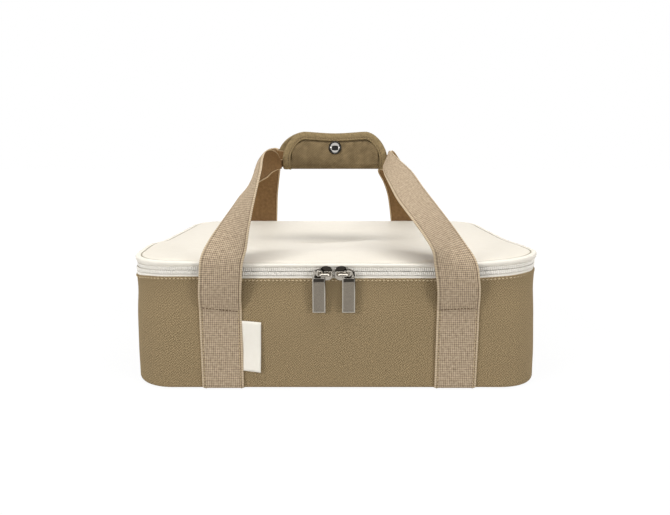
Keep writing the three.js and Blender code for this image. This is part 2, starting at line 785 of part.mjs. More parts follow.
addPiece('snap_post', turned([
  [0, shankEnd], [snapShankRadius, shankEnd], [snapShankRadius, seatGap], [snapRingRadius, seatGap],
  [snapRingRadius, seatGap + studBase], [0, seatGap + studBase],
], snapRear, rearOut), brightNickel);

// Zip sliders with their crowns, and the pull tabs that hang from them
const frontFace = -halfDepth;
const plateBack = frontFace - coilFace - seatGap;
const plateFront = plateBack - sliderPlate;
const crownFoot = plateFront - seatGap;
const crownFront = crownFoot - crownStand - crownBar / 2;
const pivotY = crownFoot - crownStand;

function sliderSolid(centre, side) {
  const high = zipCentre + sliderHeight / 2;
  const low = zipCentre - sliderHeight / 2;
  const coilLow = zipCentre - coilInner - coilHeight - seatGap;
  const flangeBack = frontFace - tapeFace - seatGap;
  const section = polygon([
    [plateFront, low], [plateFront, high], [plateBack, high], [plateBack, coilLow],
    [flangeBack, coilLow], [flangeBack, coilLow - sliderFlange], [plateBack, coilLow - sliderFlange],
    [plateBack, low],
  ]);
  const wide = side * -sliderLength / 2;
  const nose = side * sliderLength / 2;
  const outline = polygon([
    [centre + wide, low], [centre + wide * shoulderShare, low], [centre + nose, zipCentre - sliderNose / 2],
    [centre + nose, zipCentre + sliderNose / 2], [centre + wide * shoulderShare, high], [centre + wide, high],
  ]);
  const run = toSolid(pullAlongX(section, centre - sliderLength / 2, centre + sliderLength / 2));
  return toGeometry(run.intersect(toSolid(pullAlongY(outline, plateFront - cutPast, frontFace + fabricThickness))));
}

function crownSolid(centre, side) {
  const legOut = crownOuter + crownBar;
  const ends = [side * legOut, side * -crownInner - side * crownBar].map((x) => centre + x);
  const gaps = [side * crownOuter, side * -crownInner].map((x) => centre + x);
  const barBack = crownFront + crownBar;
  const shape = polygon([
    [ends[0], crownFoot], [ends[0], crownFront], [ends[1], crownFront], [ends[1], crownFoot],
    [gaps[1], crownFoot], [gaps[1], barBack], [gaps[0], barBack], [gaps[0], crownFoot],
  ]);
  const geometry = new THREE.ExtrudeGeometry(shape, { depth: crownBar, bevelEnabled: false });
  return toGeometry(toSolid(geometry.translate(0, 0, zipCentre - crownBar / 2)));
}

function pullSolid(centre) {
  const ringRadius = knuckleBore + knuckleWall;
  const ring = new THREE.Shape().absarc(pivotY, zipCentre, ringRadius, 0, 2 * Math.PI);
  ring.holes.push(new THREE.Path().absarc(pivotY, zipCentre, knuckleBore, 0, 2 * Math.PI));
  const knuckle = toSolid(pullAlongX(ring, centre - knuckleWidth / 2, centre + knuckleWidth / 2));
  const top = zipCentre - knuckleBore - knuckleWall / 2;
  const tabLength = pullLength - (zipCentre - top);
  const front = pivotY - pullThickness / 2;
  const tab = roundedRectangle(centre, top - tabLength, pullWidth, tabLength, pullCorner);
  const plate = toSolid(pullAlongY(tab, front, front + pullThickness));
  const field = roundedRectangle(
    centre, top - tabLength + pullFrame, pullWidth - 2 * pullFrame, tabLength - 4 * pullFrame, pullCorner / 2,
  );
  const recess = toSolid(pullAlongY(field, front - cutPast, front + pullRecess));
  return toGeometry(plate.add(knuckle).subtract(recess));
}

for (const [name, side] of [['left', -1], ['right', 1]]) {
  const centre = sliderMeet + side * (sliderSpace + sliderLength) / 2;
  addPiece(`slider_body_${name}`, sliderSolid(centre, side), darkNickel);
  addPiece(`slider_crown_${name}`, crownSolid(centre, side), darkNickel);
  addPiece(`pull_tab_${name}`, pullSolid(centre + side * pullOffset), darkNickel);
}

export default carrier;
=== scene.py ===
import math
import bmesh
import bpy
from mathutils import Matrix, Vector, noise


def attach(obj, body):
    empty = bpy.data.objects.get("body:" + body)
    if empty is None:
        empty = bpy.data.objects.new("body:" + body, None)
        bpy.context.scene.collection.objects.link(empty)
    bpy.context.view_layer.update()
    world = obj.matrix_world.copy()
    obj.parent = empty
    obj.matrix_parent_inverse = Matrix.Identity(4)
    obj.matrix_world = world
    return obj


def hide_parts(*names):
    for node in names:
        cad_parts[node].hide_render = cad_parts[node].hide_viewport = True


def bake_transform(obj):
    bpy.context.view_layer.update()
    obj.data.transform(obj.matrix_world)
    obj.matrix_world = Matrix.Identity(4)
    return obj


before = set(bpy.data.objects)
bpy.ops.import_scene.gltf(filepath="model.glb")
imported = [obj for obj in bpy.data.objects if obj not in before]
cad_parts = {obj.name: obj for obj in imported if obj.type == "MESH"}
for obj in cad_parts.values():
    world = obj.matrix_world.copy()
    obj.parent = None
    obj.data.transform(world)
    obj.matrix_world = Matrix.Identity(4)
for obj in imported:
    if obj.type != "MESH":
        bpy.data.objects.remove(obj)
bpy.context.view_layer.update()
scene = bpy.context.scene
mm = 0.001


def toLinear(hexText):
    channels = [int(hexText[n:n + 2], 16) / 255 for n in (1, 3, 5)]
    return tuple(c / 12.92 if c <= 0.04045 else ((c + 0.055) / 1.055) ** 2.4 for c in channels) + (1.0,)


def addNode(tree, kind, links, **settings):
    node = tree.nodes.new(kind)
    for name, value in settings.items():
        setattr(node, name, value)
    for socket, value in links.items():
        if isinstance(value, bpy.types.NodeSocket):
            tree.links.new(value, node.inputs[socket])
        else:
            node.inputs[socket].default_value = value
    return node


def startMaterial(name, roughness, **sockets):
    material = bpy.data.materials.new(name)
    material.use_nodes = True
    shader = material.node_tree.nodes["Principled BSDF"]
    shader.inputs["Roughness"].default_value = roughness
    for socket, value in sockets.items():
        shader.inputs[socket.replace("_", " ")].default_value = value
    return material, material.node_tree, shader


# Woven cloth: warp ribs and weft rows in millimetres on the piece's own cloth map, with flecks of colour.
# turn is the angle of the ribs, so 45 degrees gives the diagonal of a twill.
# selvedge is the half width of a strap, whose edges have a bright beaded line and a dark groove inside it.
selvedgeLines = {"grooveFrom": 3.2, "grooveTo": 2.6, "grooveTone": -0.5,
                 "lineFrom": 2.0, "lineTo": 1.6, "bead": 0.3}


def wovenCloth(name, light, dark, rib, weft, turn, depth, fleck, mottle, contrast, roughness, sheen,
               selvedge=0, edgeTint=""):
    material, tree, shader = startMaterial(
        name, roughness, Sheen_Weight=sheen, Sheen_Roughness=0.5, Sheen_Tint=toLinear(light),
        Specular_IOR_Level=0.2)
    cloth = addNode(tree, "ShaderNodeUVMap", {}, uv_map="cloth")
    turned = addNode(tree, "ShaderNodeMapping", {
        "Vector": cloth.outputs[0], "Rotation": (0, 0, math.radians(turn))})
    axes = addNode(tree, "ShaderNodeSeparateXYZ", {0: turned.outputs[0]})
    waves = []
    for axis, pitch in enumerate((rib, weft)):
        phase = addNode(tree, "ShaderNodeMath", {
            0: axes.outputs[axis], 1: math.tau / pitch}, operation="MULTIPLY")
        waves.append(addNode(tree, "ShaderNodeMath", {0: phase.outputs[0]}, operation="SINE").outputs[0])
    weave = addNode(tree, "ShaderNodeMath", {0: waves[0], 1: waves[1]}, operation="ADD")
    weaveShare = addNode(tree, "ShaderNodeMath", {
        0: weave.outputs[0], 1: 0.25, 2: 0.5}, operation="MULTIPLY_ADD")
    flecks = addNode(tree, "ShaderNodeTexNoise", {
        "Vector": cloth.outputs[0], "Scale": 1 / fleck, "Detail": 3.0, "Roughness": 0.6})
    tones = []
    for share, strength in ((flecks, mottle), (weaveShare, contrast)):
        centred = addNode(tree, "ShaderNodeMath", {0: share.outputs[0], 1: 0.5}, operation="SUBTRACT")
        part = addNode(tree, "ShaderNodeMath", {0: centred.outputs[0], 1: strength}, operation="MULTIPLY")
        tones.append(part.outputs[0])
    tone = addNode(tree, "ShaderNodeMath", {0: tones[0], 1: tones[1]}, operation="ADD")
    if selvedge:
        flat = addNode(tree, "ShaderNodeSeparateXYZ", {0: cloth.outputs[0]})
        across = addNode(tree, "ShaderNodeMath", {0: flat.outputs[0]}, operation="ABSOLUTE")
        groove = addNode(tree, "ShaderNodeMapRange", {
            "Value": across.outputs[0], "From Min": selvedge - selvedgeLines["grooveFrom"],
            "From Max": selvedge - selvedgeLines["grooveTo"], "To Max": selvedgeLines["grooveTone"]})
        tone = addNode(tree, "ShaderNodeMath", {0: tone.outputs[0], 1: groove.outputs[0]}, operation="ADD")
    toneShare = addNode(tree, "ShaderNodeMath", {0: tone.outputs[0], 1: 0.5}, operation="ADD", use_clamp=True)
    colour = addNode(tree, "ShaderNodeMix", {
        "Factor": toneShare.outputs[0], 6: toLinear(dark), 7: toLinear(light)}, data_type="RGBA")
    if selvedge:
        line = addNode(tree, "ShaderNodeMapRange", {
            "Value": across.outputs[0], "From Min": selvedge - selvedgeLines["lineFrom"],
            "From Max": selvedge - selvedgeLines["lineTo"]})
        beads = addNode(tree, "ShaderNodeMath", {
            0: waves[1], 1: selvedgeLines["bead"], 2: 1 - selvedgeLines["bead"]}, operation="MULTIPLY_ADD")
        edge = addNode(tree, "ShaderNodeMath", {
            0: line.outputs[0], 1: beads.outputs[0]}, operation="MULTIPLY")
        colour = addNode(tree, "ShaderNodeMix", {
            "Factor": edge.outputs[0], 6: colour.outputs[2], 7: toLinear(edgeTint)}, data_type="RGBA")
    tree.links.new(colour.outputs[2], shader.inputs["Base Color"])
    height = addNode(tree, "ShaderNodeMath", {
        0: weaveShare.outputs[0], 1: flecks.outputs[0]}, operation="MULTIPLY")
    bump = addNode(tree, "ShaderNodeBump", {
        "Strength": 0.6, "Distance": depth * mm, "Height": height.outputs[0]})
    tree.links.new(bump.outputs[0], shader.inputs["Normal"])
    return material


# Polyester twill, woven and piece-dyed khaki brown: a fine diagonal and a dry, even, slightly fuzzy face.
# The real diagonal is about 0.7 mm, too fine for the render, so it is drawn at 1.7 mm.
twillWeave = {"rib": 1.7, "weft": 2.0, "turn": 38, "depth": 0.25, "roughness": 0.88}
khakiTwill = wovenCloth("khaki polyester twill", "#b29c77", "#65553b", fleck=1.0, mottle=3.0, contrast=0.55,
                        sheen=0.1, **twillWeave)

# The same twill on the grip, painted deeper in colour as shade, with soft lighter and darker patches painted
# in for the shading of the flap's folds.
shadedGripTwill = wovenCloth("khaki twill painted in shade", "#8f7b5a", "#51432c", fleck=8.0, mottle=1.2, contrast=0.35,
                       sheen=0.08, **twillWeave)

# Polyester canvas, coated and cream: smooth and bright, with barely any weave.
canvasWeave = {"rib": 1.6, "weft": 1.6, "depth": 0.08, "fleck": 9.0, "mottle": 0.8, "contrast": 0.4,
               "roughness": 0.6, "sheen": 0.05}
creamCanvas = wovenCloth("cream coated canvas", "#eae4d7", "#e3dbcd", turn=0, **canvasWeave)

# The same canvas on the bias round the lid's edge, painted a little paler: painted light that lifts the shade
# on the underside of the piping's roll.
litEdgeCanvas = wovenCloth("cream bias-cut canvas painted lighter", "#f2ede2", "#ece5d8", turn=45, **canvasWeave)

# Cotton-feel webbing, shuttle woven in tan: ribs along the strap crossed by weft rows, and a bright selvedge.
# The real ribs are about 1.1 mm, so they are drawn at 1.8 mm to show.
webbingWeave = {"rib": 1.8, "weft": 1.8, "turn": 0, "depth": 0.35, "roughness": 0.9, "selvedge": 20}
tanWebbing = wovenCloth("tan woven webbing", "#cdb99e", "#786652", fleck=3.0, mottle=1.3, contrast=1.1,
                        sheen=0.7, edgeTint="#d6c2a4", **webbingWeave)

# The webbing's inner face, painted a deeper brown as the shade it lies in.
shadedInnerWebbing = wovenCloth("inner face of the webbing painted in shade", "#94724a", "#60472c", fleck=4.0, mottle=1.0,
                          contrast=0.8, sheen=0.08, edgeTint="#cfb48c", **webbingWeave)

# Woven binding tape, the same brown as the grip, a little smoother along its folded edge.
brownBinding = wovenCloth("brown binding tape", "#9b8762", "#6f5f42", rib=1.5, weft=2.6, turn=20, depth=0.2,
                          fleck=2.0, mottle=1.2, contrast=0.4, roughness=0.85, sheen=0.08)

# Knitted polyester zip tape, cream: a fine slanting knit.
zipTape = wovenCloth("cream zip tape", "#faf6ed", "#f2ece0", rib=1.4, weft=1.4, turn=45, depth=0.12,
                     fleck=4.0, mottle=0.6, contrast=0.6, roughness=0.75, sheen=0.05)

# Woven damask tag, off-white and bare: close and smooth.
tagCloth = wovenCloth("off-white woven tag", "#f8f4ea", "#efe9dc", rib=1.2, weft=1.2, turn=0, depth=0.1,
                      fleck=5.0, mottle=0.7, contrast=0.5, roughness=0.65, sheen=0.05)

# Spun polyester thread, dull with a slanting twist: light on the twill and along the straps, dark across
# the straps and on the grip; and a stone grey cord laid in the lid's seam as painted shade of its crease.
threadTwist = {"rib": 0.8, "weft": 0.8, "turn": 30, "depth": 0.05}
brownThread = wovenCloth("light brown sewing thread", "#dcc9a8", "#b7a27e", fleck=1.0, mottle=0.6,
                         contrast=0.5, roughness=0.7, sheen=0.1, **threadTwist)
tanThread = wovenCloth("tan sewing thread", "#cfbc97", "#a5906d", fleck=1.0, mottle=0.8, contrast=0.5,
                       roughness=0.7, sheen=0.1, **threadTwist)
darkThread = wovenCloth("dark sewing thread", "#8a745a", "#4d3e2d", fleck=3.0, mottle=1.6, contrast=0.5,
                        roughness=0.7, sheen=0.1, **threadTwist)
seamShadeCord = wovenCloth("grey cord painted as seam shade", "#aaa391", "#989180", fleck=6.0, mottle=0.4, contrast=0.0,
                         roughness=0.8, sheen=0.05, **threadTwist)


# Film, plastic and plate: a grain of two close colours, which may also raise the surface or scuff its shine.
# grain is its size in millimetres.
def grained(name, light, dark, grain, detail, breakUp, roughness, raised=0, scuff=0, **sockets):
    material, tree, shader = startMaterial(name, roughness, **sockets)
    spot = addNode(tree, "ShaderNodeTexCoord", {})
    speck = addNode(tree, "ShaderNodeTexNoise", {
        "Vector": spot.outputs["Object"], "Scale": 1 / (grain * mm), "Detail": detail, "Roughness": breakUp})
    tint = addNode(tree, "ShaderNodeMix", {
        "Factor": speck.outputs[0], 6: toLinear(dark), 7: toLinear(light)}, data_type="RGBA")
    tree.links.new(tint.outputs[2], shader.inputs["Base Color"])
    if raised:
        bump = addNode(tree, "ShaderNodeBump", {
            "Strength": 0.5, "Distance": raised * mm, "Height": speck.outputs[0]})
        tree.links.new(bump.outputs[0], shader.inputs["Normal"])
    if scuff:
        rub = addNode(tree, "ShaderNodeMapRange", {
            "Value": speck.outputs[0], "From Min": 0.3, "From Max": 0.7,
            "To Min": roughness - scuff, "To Max": roughness + scuff})
        tree.links.new(rub.outputs[0], shader.inputs["Roughness"])
    return material


# Heat-sealed film over foam: a pale silver lining with soft wrinkles and a satin shine.
linerFilm = grained("silver lining film", "#d2d5d6", "#b9bcbe", 22, 4.0, 0.55, 0.35, raised=1.2,
                    Metallic=0.35)

# Extruded polyethylene board: dark, flat, faintly grained.
baseBoard = grained("grey polyethylene board", "#525252", "#3f3f3f", 3, 2.0, 0.5, 0.6)

# Moulded polyester coil: cream, with the soft gloss of a drawn filament.
coilPlastic = grained("cream polyester coil", "#faf6ee", "#f3eee3", 6, 2.0, 0.5, 0.42)

# Plated zinc, die cast and tumbled: a mirror that is broken by faint scuffs.
plating = {"grain": 1.8, "detail": 5.0, "breakUp": 0.65, "Metallic": 1.0}
gunmetal = grained("gunmetal plated zinc", "#c4beb3", "#8f887e", roughness=0.14, scuff=0.05, **plating)
brushedField = grained("satin field of the pulls", "#9b9285", "#6b645a", roughness=0.3, scuff=0.1, **plating)
# Zinc painted nearly black: painted shade and dark reflection on the sliders' domes, the snap's outer rings
# and the pulls' slots
shadeReflectionZinc = grained("zinc painted dark for shade and reflection", "#48433c", "#23211e", roughness=0.16, scuff=0.06, **plating)
brightNickel = grained("bright nickel plate", "#cfccc6", "#b5b2ac", roughness=0.08, scuff=0.03, **plating)
print("materials made")


def makeMesh(name, verts, faces, corners, material):
    mesh = bpy.data.meshes.new(name)
    mesh.from_pydata([Vector(v) * mm for v in verts], [], faces)
    layer = mesh.uv_layers.new(name="cloth")
    for polygon, uvs in zip(mesh.polygons, corners):
        for loop, uv in zip(polygon.loop_indices, uvs):
            layer.data[loop].uv = uv
    build = bmesh.new()
    build.from_mesh(mesh)
    bmesh.ops.recalc_face_normals(build, faces=build.faces)
    build.to_mesh(mesh)
    build.free()
    mesh.shade_smooth()
    mesh.materials.append(material)
    piece = bpy.data.objects.new(name, mesh)
    scene.collection.objects.link(piece)
    return piece


# A grid of points, closed on itself along either way, with its open ends (caps) or sides (sideCaps) filled
def gridMesh(name, rows, cols, point, uv, material, wrapRows=False, wrapCols=False, caps=False,
             sideCaps=False):
    verts = [point(i, j) for i in range(rows) for j in range(cols)]
    faces, corners = [], []
    for i in range(rows if wrapRows else rows - 1):
        for j in range(cols if wrapCols else cols - 1):
            ring = [(i, j), (i + 1, j), (i + 1, j + 1), (i, j + 1)]
            faces.append([(a % rows) * cols + b % cols for a, b in ring])
            corners.append([uv(a, b) for a, b in ring])
    if caps:
        for i in (0, rows - 1):
            faces.append([i * cols + j for j in range(cols)])
            corners.append([uv(i, j) for j in range(cols)])
    if sideCaps:
        for j in (0, cols - 1):
            faces.append([i * cols + j for i in range(rows)])
            corners.append([uv(i, j) for i in range(rows)])
    return makeMesh(name, verts, faces, corners, material)


# A closed bead from rings of as many points each; cloth is the step of its cloth map from point to point
def addBead(verts, faces, corners, rings, cloth):
    first, sides = len(verts), len(rings[0])
    last = first + (len(rings) - 1) * sides
    for r, ring in enumerate(rings):
        verts += ring
        if r == len(rings) - 1:
            break
        for k in range(sides):
            a, b = first + r * sides + k, first + r * sides + (k + 1) % sides
            faces.append([a, b, b + sides, a + sides])
            spots = ((k, r), (k + 1, r), (k + 1, r + 1), (k, r + 1))
            corners.append([(u * cloth, v * cloth) for u, v in spots])
    for start in (first, last):
        faces.append([start + k for k in range(sides)])
        corners.append([(k * cloth, 0) for k in range(sides)])


def dress(piece, body, slotName, *nodes):
    if nodes:
        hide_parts(*nodes)
    if body:
        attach(piece, body)
    return piece


# A grid that goes up one face of a sheet and back down the other: the place on the face, and which face
def bothFaces(j, count):
    return min(j, 2 * count - 1 - j), j < count


def smoothStep(low, high, value):
    share = min(max((value - low) / (high - low), 0), 1)
    return share * share * (3 - 2 * share)


# Sewing: short raised stitches along a path of (point, outward) pairs, each from rings of (place, size, lift)
stitch = {"sides": 6, "rings": ((-0.5, 0.25, -0.35), (-0.32, 0.9, 0.25), (0, 1, 0.45), (0.32, 0.9, 0.25),
                                (0.5, 0.25, -0.35))}


def stitchRow(name, path, pitch, length, radius, material):
    places = [Vector(p) for p, _ in path]
    outs = [Vector(n).normalized() for _, n in path]
    lengths = [0.0]
    for before, after in zip(places, places[1:]):
        lengths.append(lengths[-1] + (after - before).length)
    verts, faces, corners = [], [], []
    count = int(lengths[-1] / pitch)
    seg = 0
    for n in range(count):
        middle = (n + 0.5) * lengths[-1] / count
        while seg + 2 < len(lengths) and lengths[seg + 1] < middle:
            seg += 1
        share = (middle - lengths[seg]) / max(lengths[seg + 1] - lengths[seg], 1e-6)
        centre = places[seg].lerp(places[seg + 1], share)
        along = (places[seg + 1] - places[seg]).normalized()
        up = outs[seg].lerp(outs[seg + 1], share).normalized()
        side = along.cross(up).normalized()
        rings = []
        for step, size, lift in stitch["rings"]:
            angles = [math.tau * k / stitch["sides"] for k in range(stitch["sides"])]
            rings.append([centre + along * step * length + up * radius * (lift + size * math.sin(angle))
                          + side * radius * size * math.cos(angle) for angle in angles])
        addBead(verts, faces, corners, rings, 1)
    return makeMesh(name, verts, faces, corners, material)


# Tub: the plan outline that every band follows, clockwise from the right end of the rear edge
tub = {
    "length": 396, "depth": 270, "corner": 40, "leastCorner": 0.4, "cornerSteps": 14, "longSteps": 56,
    "shortSteps": 30, "top": 109.5, "under": 2.3, "flare": 4.0,
    "footTurn": 2.4, "footHeight": 5.2, "footSteps": 7,
    "lip": 1.3, "lipTurn": 1.1, "lipHeight": 3.6, "padding": 6.4,
    "waist": 1.2, "waistHeight": 92, "waistRun": 15,
    "dent": 0.8, "dentRun": (85, 85, 60), "dentSeed": 4.7, "dentFrom": (6, 30), "dentTo": (88, 106),
    "bulge": 2.6, "bulgeRun": (42, 6), "bulgeFade": 160,
    "faceHeights": (8, 13, 20, 28, 36, 44, 52, 60, 68, 76, 83, 89, 94, 99, 103, 106),
    "hem": [(0.0, 107.6), (0.05, 108.7), (-0.25, 109.35), (-0.8, 109.55), (-1.25, 109.2), (-1.3, 106.9)],
    "innerTop": 106.4, "innerHeights": (90, 60, 30, 12), "innerFoot": [(-2.6, 6.2), (1.0, 3.5)],
}
halfLength = tub["length"] / 2
frontY = -tub["depth"] / 2


def outline(out):
    halfX = halfLength + out
    halfY = tub["depth"] / 2 + out
    radius = max(tub["corner"] + out, tub["leastCorner"])
    arcs = []
    for sideX, sideY, start in ((1, 1, 90), (1, -1, 0), (-1, -1, -90), (-1, 1, -180)):
        arc = []
        for n in range(tub["cornerSteps"] + 1):
            angle = math.radians(start - 90 * n / tub["cornerSteps"])
            arc.append(Vector((sideX * (halfX - radius) + radius * math.cos(angle),
                               sideY * (halfY - radius) + radius * math.sin(angle), 0)))
        arcs.append(arc)
    points = []
    for n, arc in enumerate(arcs):
        points += arc
        steps = tub["shortSteps"] if n % 2 == 0 else tub["longSteps"]
        goal = arcs[(n + 1) % 4][0]
        points += [arc[-1].lerp(goal, k / steps) for k in range(1, steps)]
    return points


rim = outline(0)
rimOut = [(b - a).normalized() for a, b in zip(rim, outline(1))]
rimRun = [0.0]
for n in range(len(rim)):
    rimRun.append(rimRun[-1] + (rim[(n + 1) % len(rim)] - rim[n]).length)
zipStations = len(rim) - tub["longSteps"] + 1


# Soft edges settle: the rim and the lid's edge ride up at the front right corner, a little at the front left,
# the lid's left side lifts behind its corner, its rear edge stands up and its front edge is pressed flatter
settle = {
    "front": (-105, 0), "right": 4.2, "lidRight": 4.3, "rightFrom": 120,
    "left": 1.7, "lidLeft": 1.0, "leftFrom": 95, "leftRun": 25, "leftEnd": 2.6, "leftEndRun": 26,
    "lift": 3.0, "liftAt": -66, "liftRun": 26, "liftFrom": (50, 8),
    "rear": 1.3, "rearFrom": (80, 128), "rearAbove": (121, 124), "low": 55, "band": 10.4,
    "press": 0.43, "pressAbove": 120.3, "pressTo": (80, 205), "tuck": 2.0, "tuckRun": 55, "tuckAbove": 120,
}


def settleAt(x, y, z):
    front = 1 - smoothStep(*settle["front"], y)
    right = smoothStep(settle["rightFrom"], halfLength, x) * front
    left = smoothStep(settle["leftFrom"], settle["leftFrom"] + settle["leftRun"], -x) * front
    leftEnd = smoothStep(halfLength - settle["leftEndRun"], halfLength, -x) * front
    rimRise = settle["right"] * right + settle["left"] * left - settle["leftEnd"] * leftEnd
    if z < tub["top"]:
        return rimRise * smoothStep(settle["low"], tub["top"], z)
    liftFrom, liftTo = (halfLength - inset for inset in settle["liftFrom"])
    lift = settle["lift"] * smoothStep(liftFrom, liftTo, -x)
    lift *= math.exp(-((y - settle["liftAt"]) / settle["liftRun"]) ** 2)
    rear = settle["rear"] * smoothStep(*settle["rearFrom"], y) * smoothStep(*settle["rearAbove"], z)
    lidRise = settle["lidRight"] * right + settle["lidLeft"] * left + lift + rear
    share = min((z - tub["top"]) / settle["band"], 1)
    press = settle["press"] * front * (1 - smoothStep(*settle["pressTo"], abs(x)))
    press *= max(z - settle["pressAbove"], 0)
    return rimRise * (1 - share) + lidRise * share - press


# The lid's left end is drawn in a little over the tub
def tuckAt(x, z):
    along = smoothStep(halfLength - settle["tuckRun"], halfLength, -x)
    return settle["tuck"] * along * smoothStep(tub["top"], settle["tuckAbove"], z)


def bandMesh(name, section, material, allRound=True, shift=None):
    lengths = [0.0]
    for (outA, zA), (outB, zB) in zip(section, section[1:] + section[:1]):
        lengths.append(lengths[-1] + math.hypot(outB - outA, zB - zA))

    def point(i, j):
        out, z = section[j]
        move = shift(i, out, z) if shift else 0
        place = rim[i] + rimOut[i] * (out + move)
        return (place.x + tuckAt(place.x, z), place.y, z + settleAt(place.x, place.y, z))

    rows = len(rim) if allRound else zipStations
    return gridMesh(name, rows, len(section), point, lambda i, j: (rimRun[i], lengths[j]), material,
                    wrapRows=allRound, wrapCols=True, caps=not allRound)


def wallOut(z):
    lean = tub["flare"] * (tub["top"] - z) / (tub["top"] - tub["footHeight"])
    return lean - tub["waist"] * math.exp(-((z - tub["waistHeight"]) / tub["waistRun"]) ** 2)


# Soft dents in the padded wall, none at the rim or the foot, and a fuller right end
def wallDent(i, out, z):
    hold = smoothStep(*tub["dentFrom"], z) * (1 - smoothStep(*tub["dentTo"], z))
    place = rim[i]
    runX, runY, runZ = tub["dentRun"]
    spot = Vector((place.x / runX, place.y / runY, z / runZ + tub["dentSeed"]))
    bulgeFrom, bulgeTo = (halfLength - inset for inset in tub["bulgeRun"])
    bulge = tub["bulge"] * smoothStep(bulgeFrom, bulgeTo, place.x) * (1 - z / tub["bulgeFade"])
    return bulge + tub["dent"] * hold * noise.noise(spot)


# Rounded turn of cloth or webbing round the foot of the wall: (out, height) at a share from under to upright
def footTurn(share, turn, height, under):
    angle = math.radians(90 * share)
    return (tub["flare"] - turn * (1 - math.sin(angle)), height - (height - under) * math.cos(angle))


wallSection = [footTurn(n / tub["footSteps"], tub["lipTurn"], tub["lipHeight"], tub["lip"])
               for n in range(tub["footSteps"] + 1)]
wallSection += [(wallOut(z), z) for z in tub["faceHeights"]] + tub["hem"]
wallSection += [(-tub["padding"], tub["innerTop"])]
wallSection += [(wallOut(z) - tub["padding"], z) for z in tub["innerHeights"]] + tub["innerFoot"]
bodyWall = bandMesh("body_wall", wallSection, khakiTwill, shift=wallDent)
dress(bodyWall, "base", "twill", "body_outer_wall", "body_foam_wall")

# Row of stitches under the rim
hem = {"height": 107.4, "out": 0.02, "pitch": 3.7, "length": 2.3, "radius": 0.5}
hemPath = []
for place, out in zip(rim, rimOut):
    height = hem["height"] + settleAt(place.x, place.y, hem["height"])
    hemPath.append((place + out * hem["out"] + Vector((0, 0, height)), out))
hemStitch = stitchRow("rim_stitching", hemPath + hemPath[:1], hem["pitch"], hem["length"], hem["radius"],
                      brownThread)
dress(hemStitch, "base", "twill")


# Plates: loops of the outline from the edge to the middle, a top and an underside
def plateMesh(name, insets, topAt, underAt, material):
    loops = [outline(-inset) for inset in insets]
    count = len(insets)
    rows = len(rim)

    def spot(i, j):
        k = count - 1 - j if j < count else j - count
        return loops[k][i % rows], insets[k], j >= count

    def point(i, j):
        place, inset, isTop = spot(i, j)
        height = topAt(place.x, place.y, inset) if isTop else underAt(place.x, place.y, inset)
        return (place.x + tuckAt(place.x, height), place.y, height)

    def uv(i, j):
        place, _, _ = spot(i, j)
        return (place.x, place.y)

    return gridMesh(name, rows, 2 * count, point, uv, material, wrapRows=True, sideCaps=True)


base = {"insets": [-1.2, 2, 10, 40, 90, 134], "top": 3.4, "under": 2.35, "hollow": 0.25,
        "hollowRun": (-1, 8)}
basePanel = plateMesh("base_panel", base["insets"], lambda x, y, d: base["top"],
                      lambda x, y, d: base["under"] + base["hollow"] * smoothStep(*base["hollowRun"], d),
                      khakiTwill)
dress(basePanel, "base", "twill", "base_outer_panel")
print("tub made")

# Lid: padded top that swells inside the piping, sinks in the middle and keeps a few soft creases,
# each from one place to another, with its depth and width
lid = {
    "seam": 124.6, "from": 3.8, "shoulder": 2.2, "shoulderRun": 2.2, "crown": 0.5, "crownRun": 12,
    "sink": 6.8, "sinkFrom": 26, "sinkTo": 118, "padding": 6.0, "thinEdge": 1.2, "thinRun": 6,
    "creases": [((-62, -10), (60, 22), 2.4, 10), ((-100, -44), (-18, -40), 0.4, 12),
                ((10, -46), (84, -58), 0.2, 14), ((-30, 52), (66, 60), 0.6, 14)],
    "creaseEnd": 0.04, "ruffle": 0.35, "ruffleRun": 38, "ruffleSeed": 1.9, "holdRun": (3, 22),
    "droopRun": (4, 60),
    "insets": [3.8, 4.1, 4.6, 5.3, 6.2, 7.4, 9, 11, 14] + list(range(18, 127, 6)) + [131, 134.4],
    "liningInsets": [2.7, 6, 14, 30, 60, 90, 118, 134], "liningGap": 0.4, "liningThick": 0.8,
}


def creaseAt(x, y):
    sunk = 0
    for (x0, y0), (x1, y1), depth, width in lid["creases"]:
        run = Vector((x1 - x0, y1 - y0))
        share = max(0, min(1, Vector((x - x0, y - y0)).dot(run) / run.length_squared))
        gap = math.hypot(x - x0 - run.x * share, y - y0 - run.y * share)
        taper = math.sin(math.pi * min(max(share, lid["creaseEnd"]), 1 - lid["creaseEnd"]))
        sunk += depth * taper * math.exp(-(gap / width) ** 2)
    return sunk


def lidTopAt(x, y, inset):
    shoulder = lid["shoulder"] * (1 - math.exp(-(inset - lid["from"]) / lid["shoulderRun"]))
    crown = lid["crown"] * (1 - math.exp(-(inset - lid["from"]) / lid["crownRun"]))
    sink = lid["sink"] * smoothStep(lid["sinkFrom"], lid["sinkTo"], inset)
    hold = smoothStep(*lid["holdRun"], inset)
    spot = Vector((x / lid["ruffleRun"], y / lid["ruffleRun"], lid["ruffleSeed"]))
    ruffle = lid["ruffle"] * noise.noise(spot)
    droop = settleAt(x, y, lid["seam"]) * (1 - smoothStep(*lid["droopRun"], inset))
    return lid["seam"] + shoulder + crown - sink + droop + hold * (ruffle - creaseAt(x, y))


def lidUnderAt(x, y, inset):
    return lidTopAt(x, y, inset) - lid["padding"] + lid["thinEdge"] * math.exp(-inset / lid["thinRun"])


lidTop = plateMesh("lid_top", lid["insets"], lidTopAt, lidUnderAt, creamCanvas)
dress(lidTop, "lid", "cream_cloth", "lid_top_panel", "lid_foam")

# Piping: a soft roll with a flattened face, not quite even along its run
piping = {"radius": 2.75, "out": -1.2, "height": 123.25, "sides": 28, "power": 0.72,
          "uneven": 0.12, "unevenRun": 9, "unevenSeed": (0.3, 2.2)}


def flatten(share):
    return math.copysign(abs(share) ** piping["power"], share)


def pipingShift(i, out, z):
    return piping["uneven"] * noise.noise(Vector((rimRun[i] / piping["unevenRun"], *piping["unevenSeed"])))


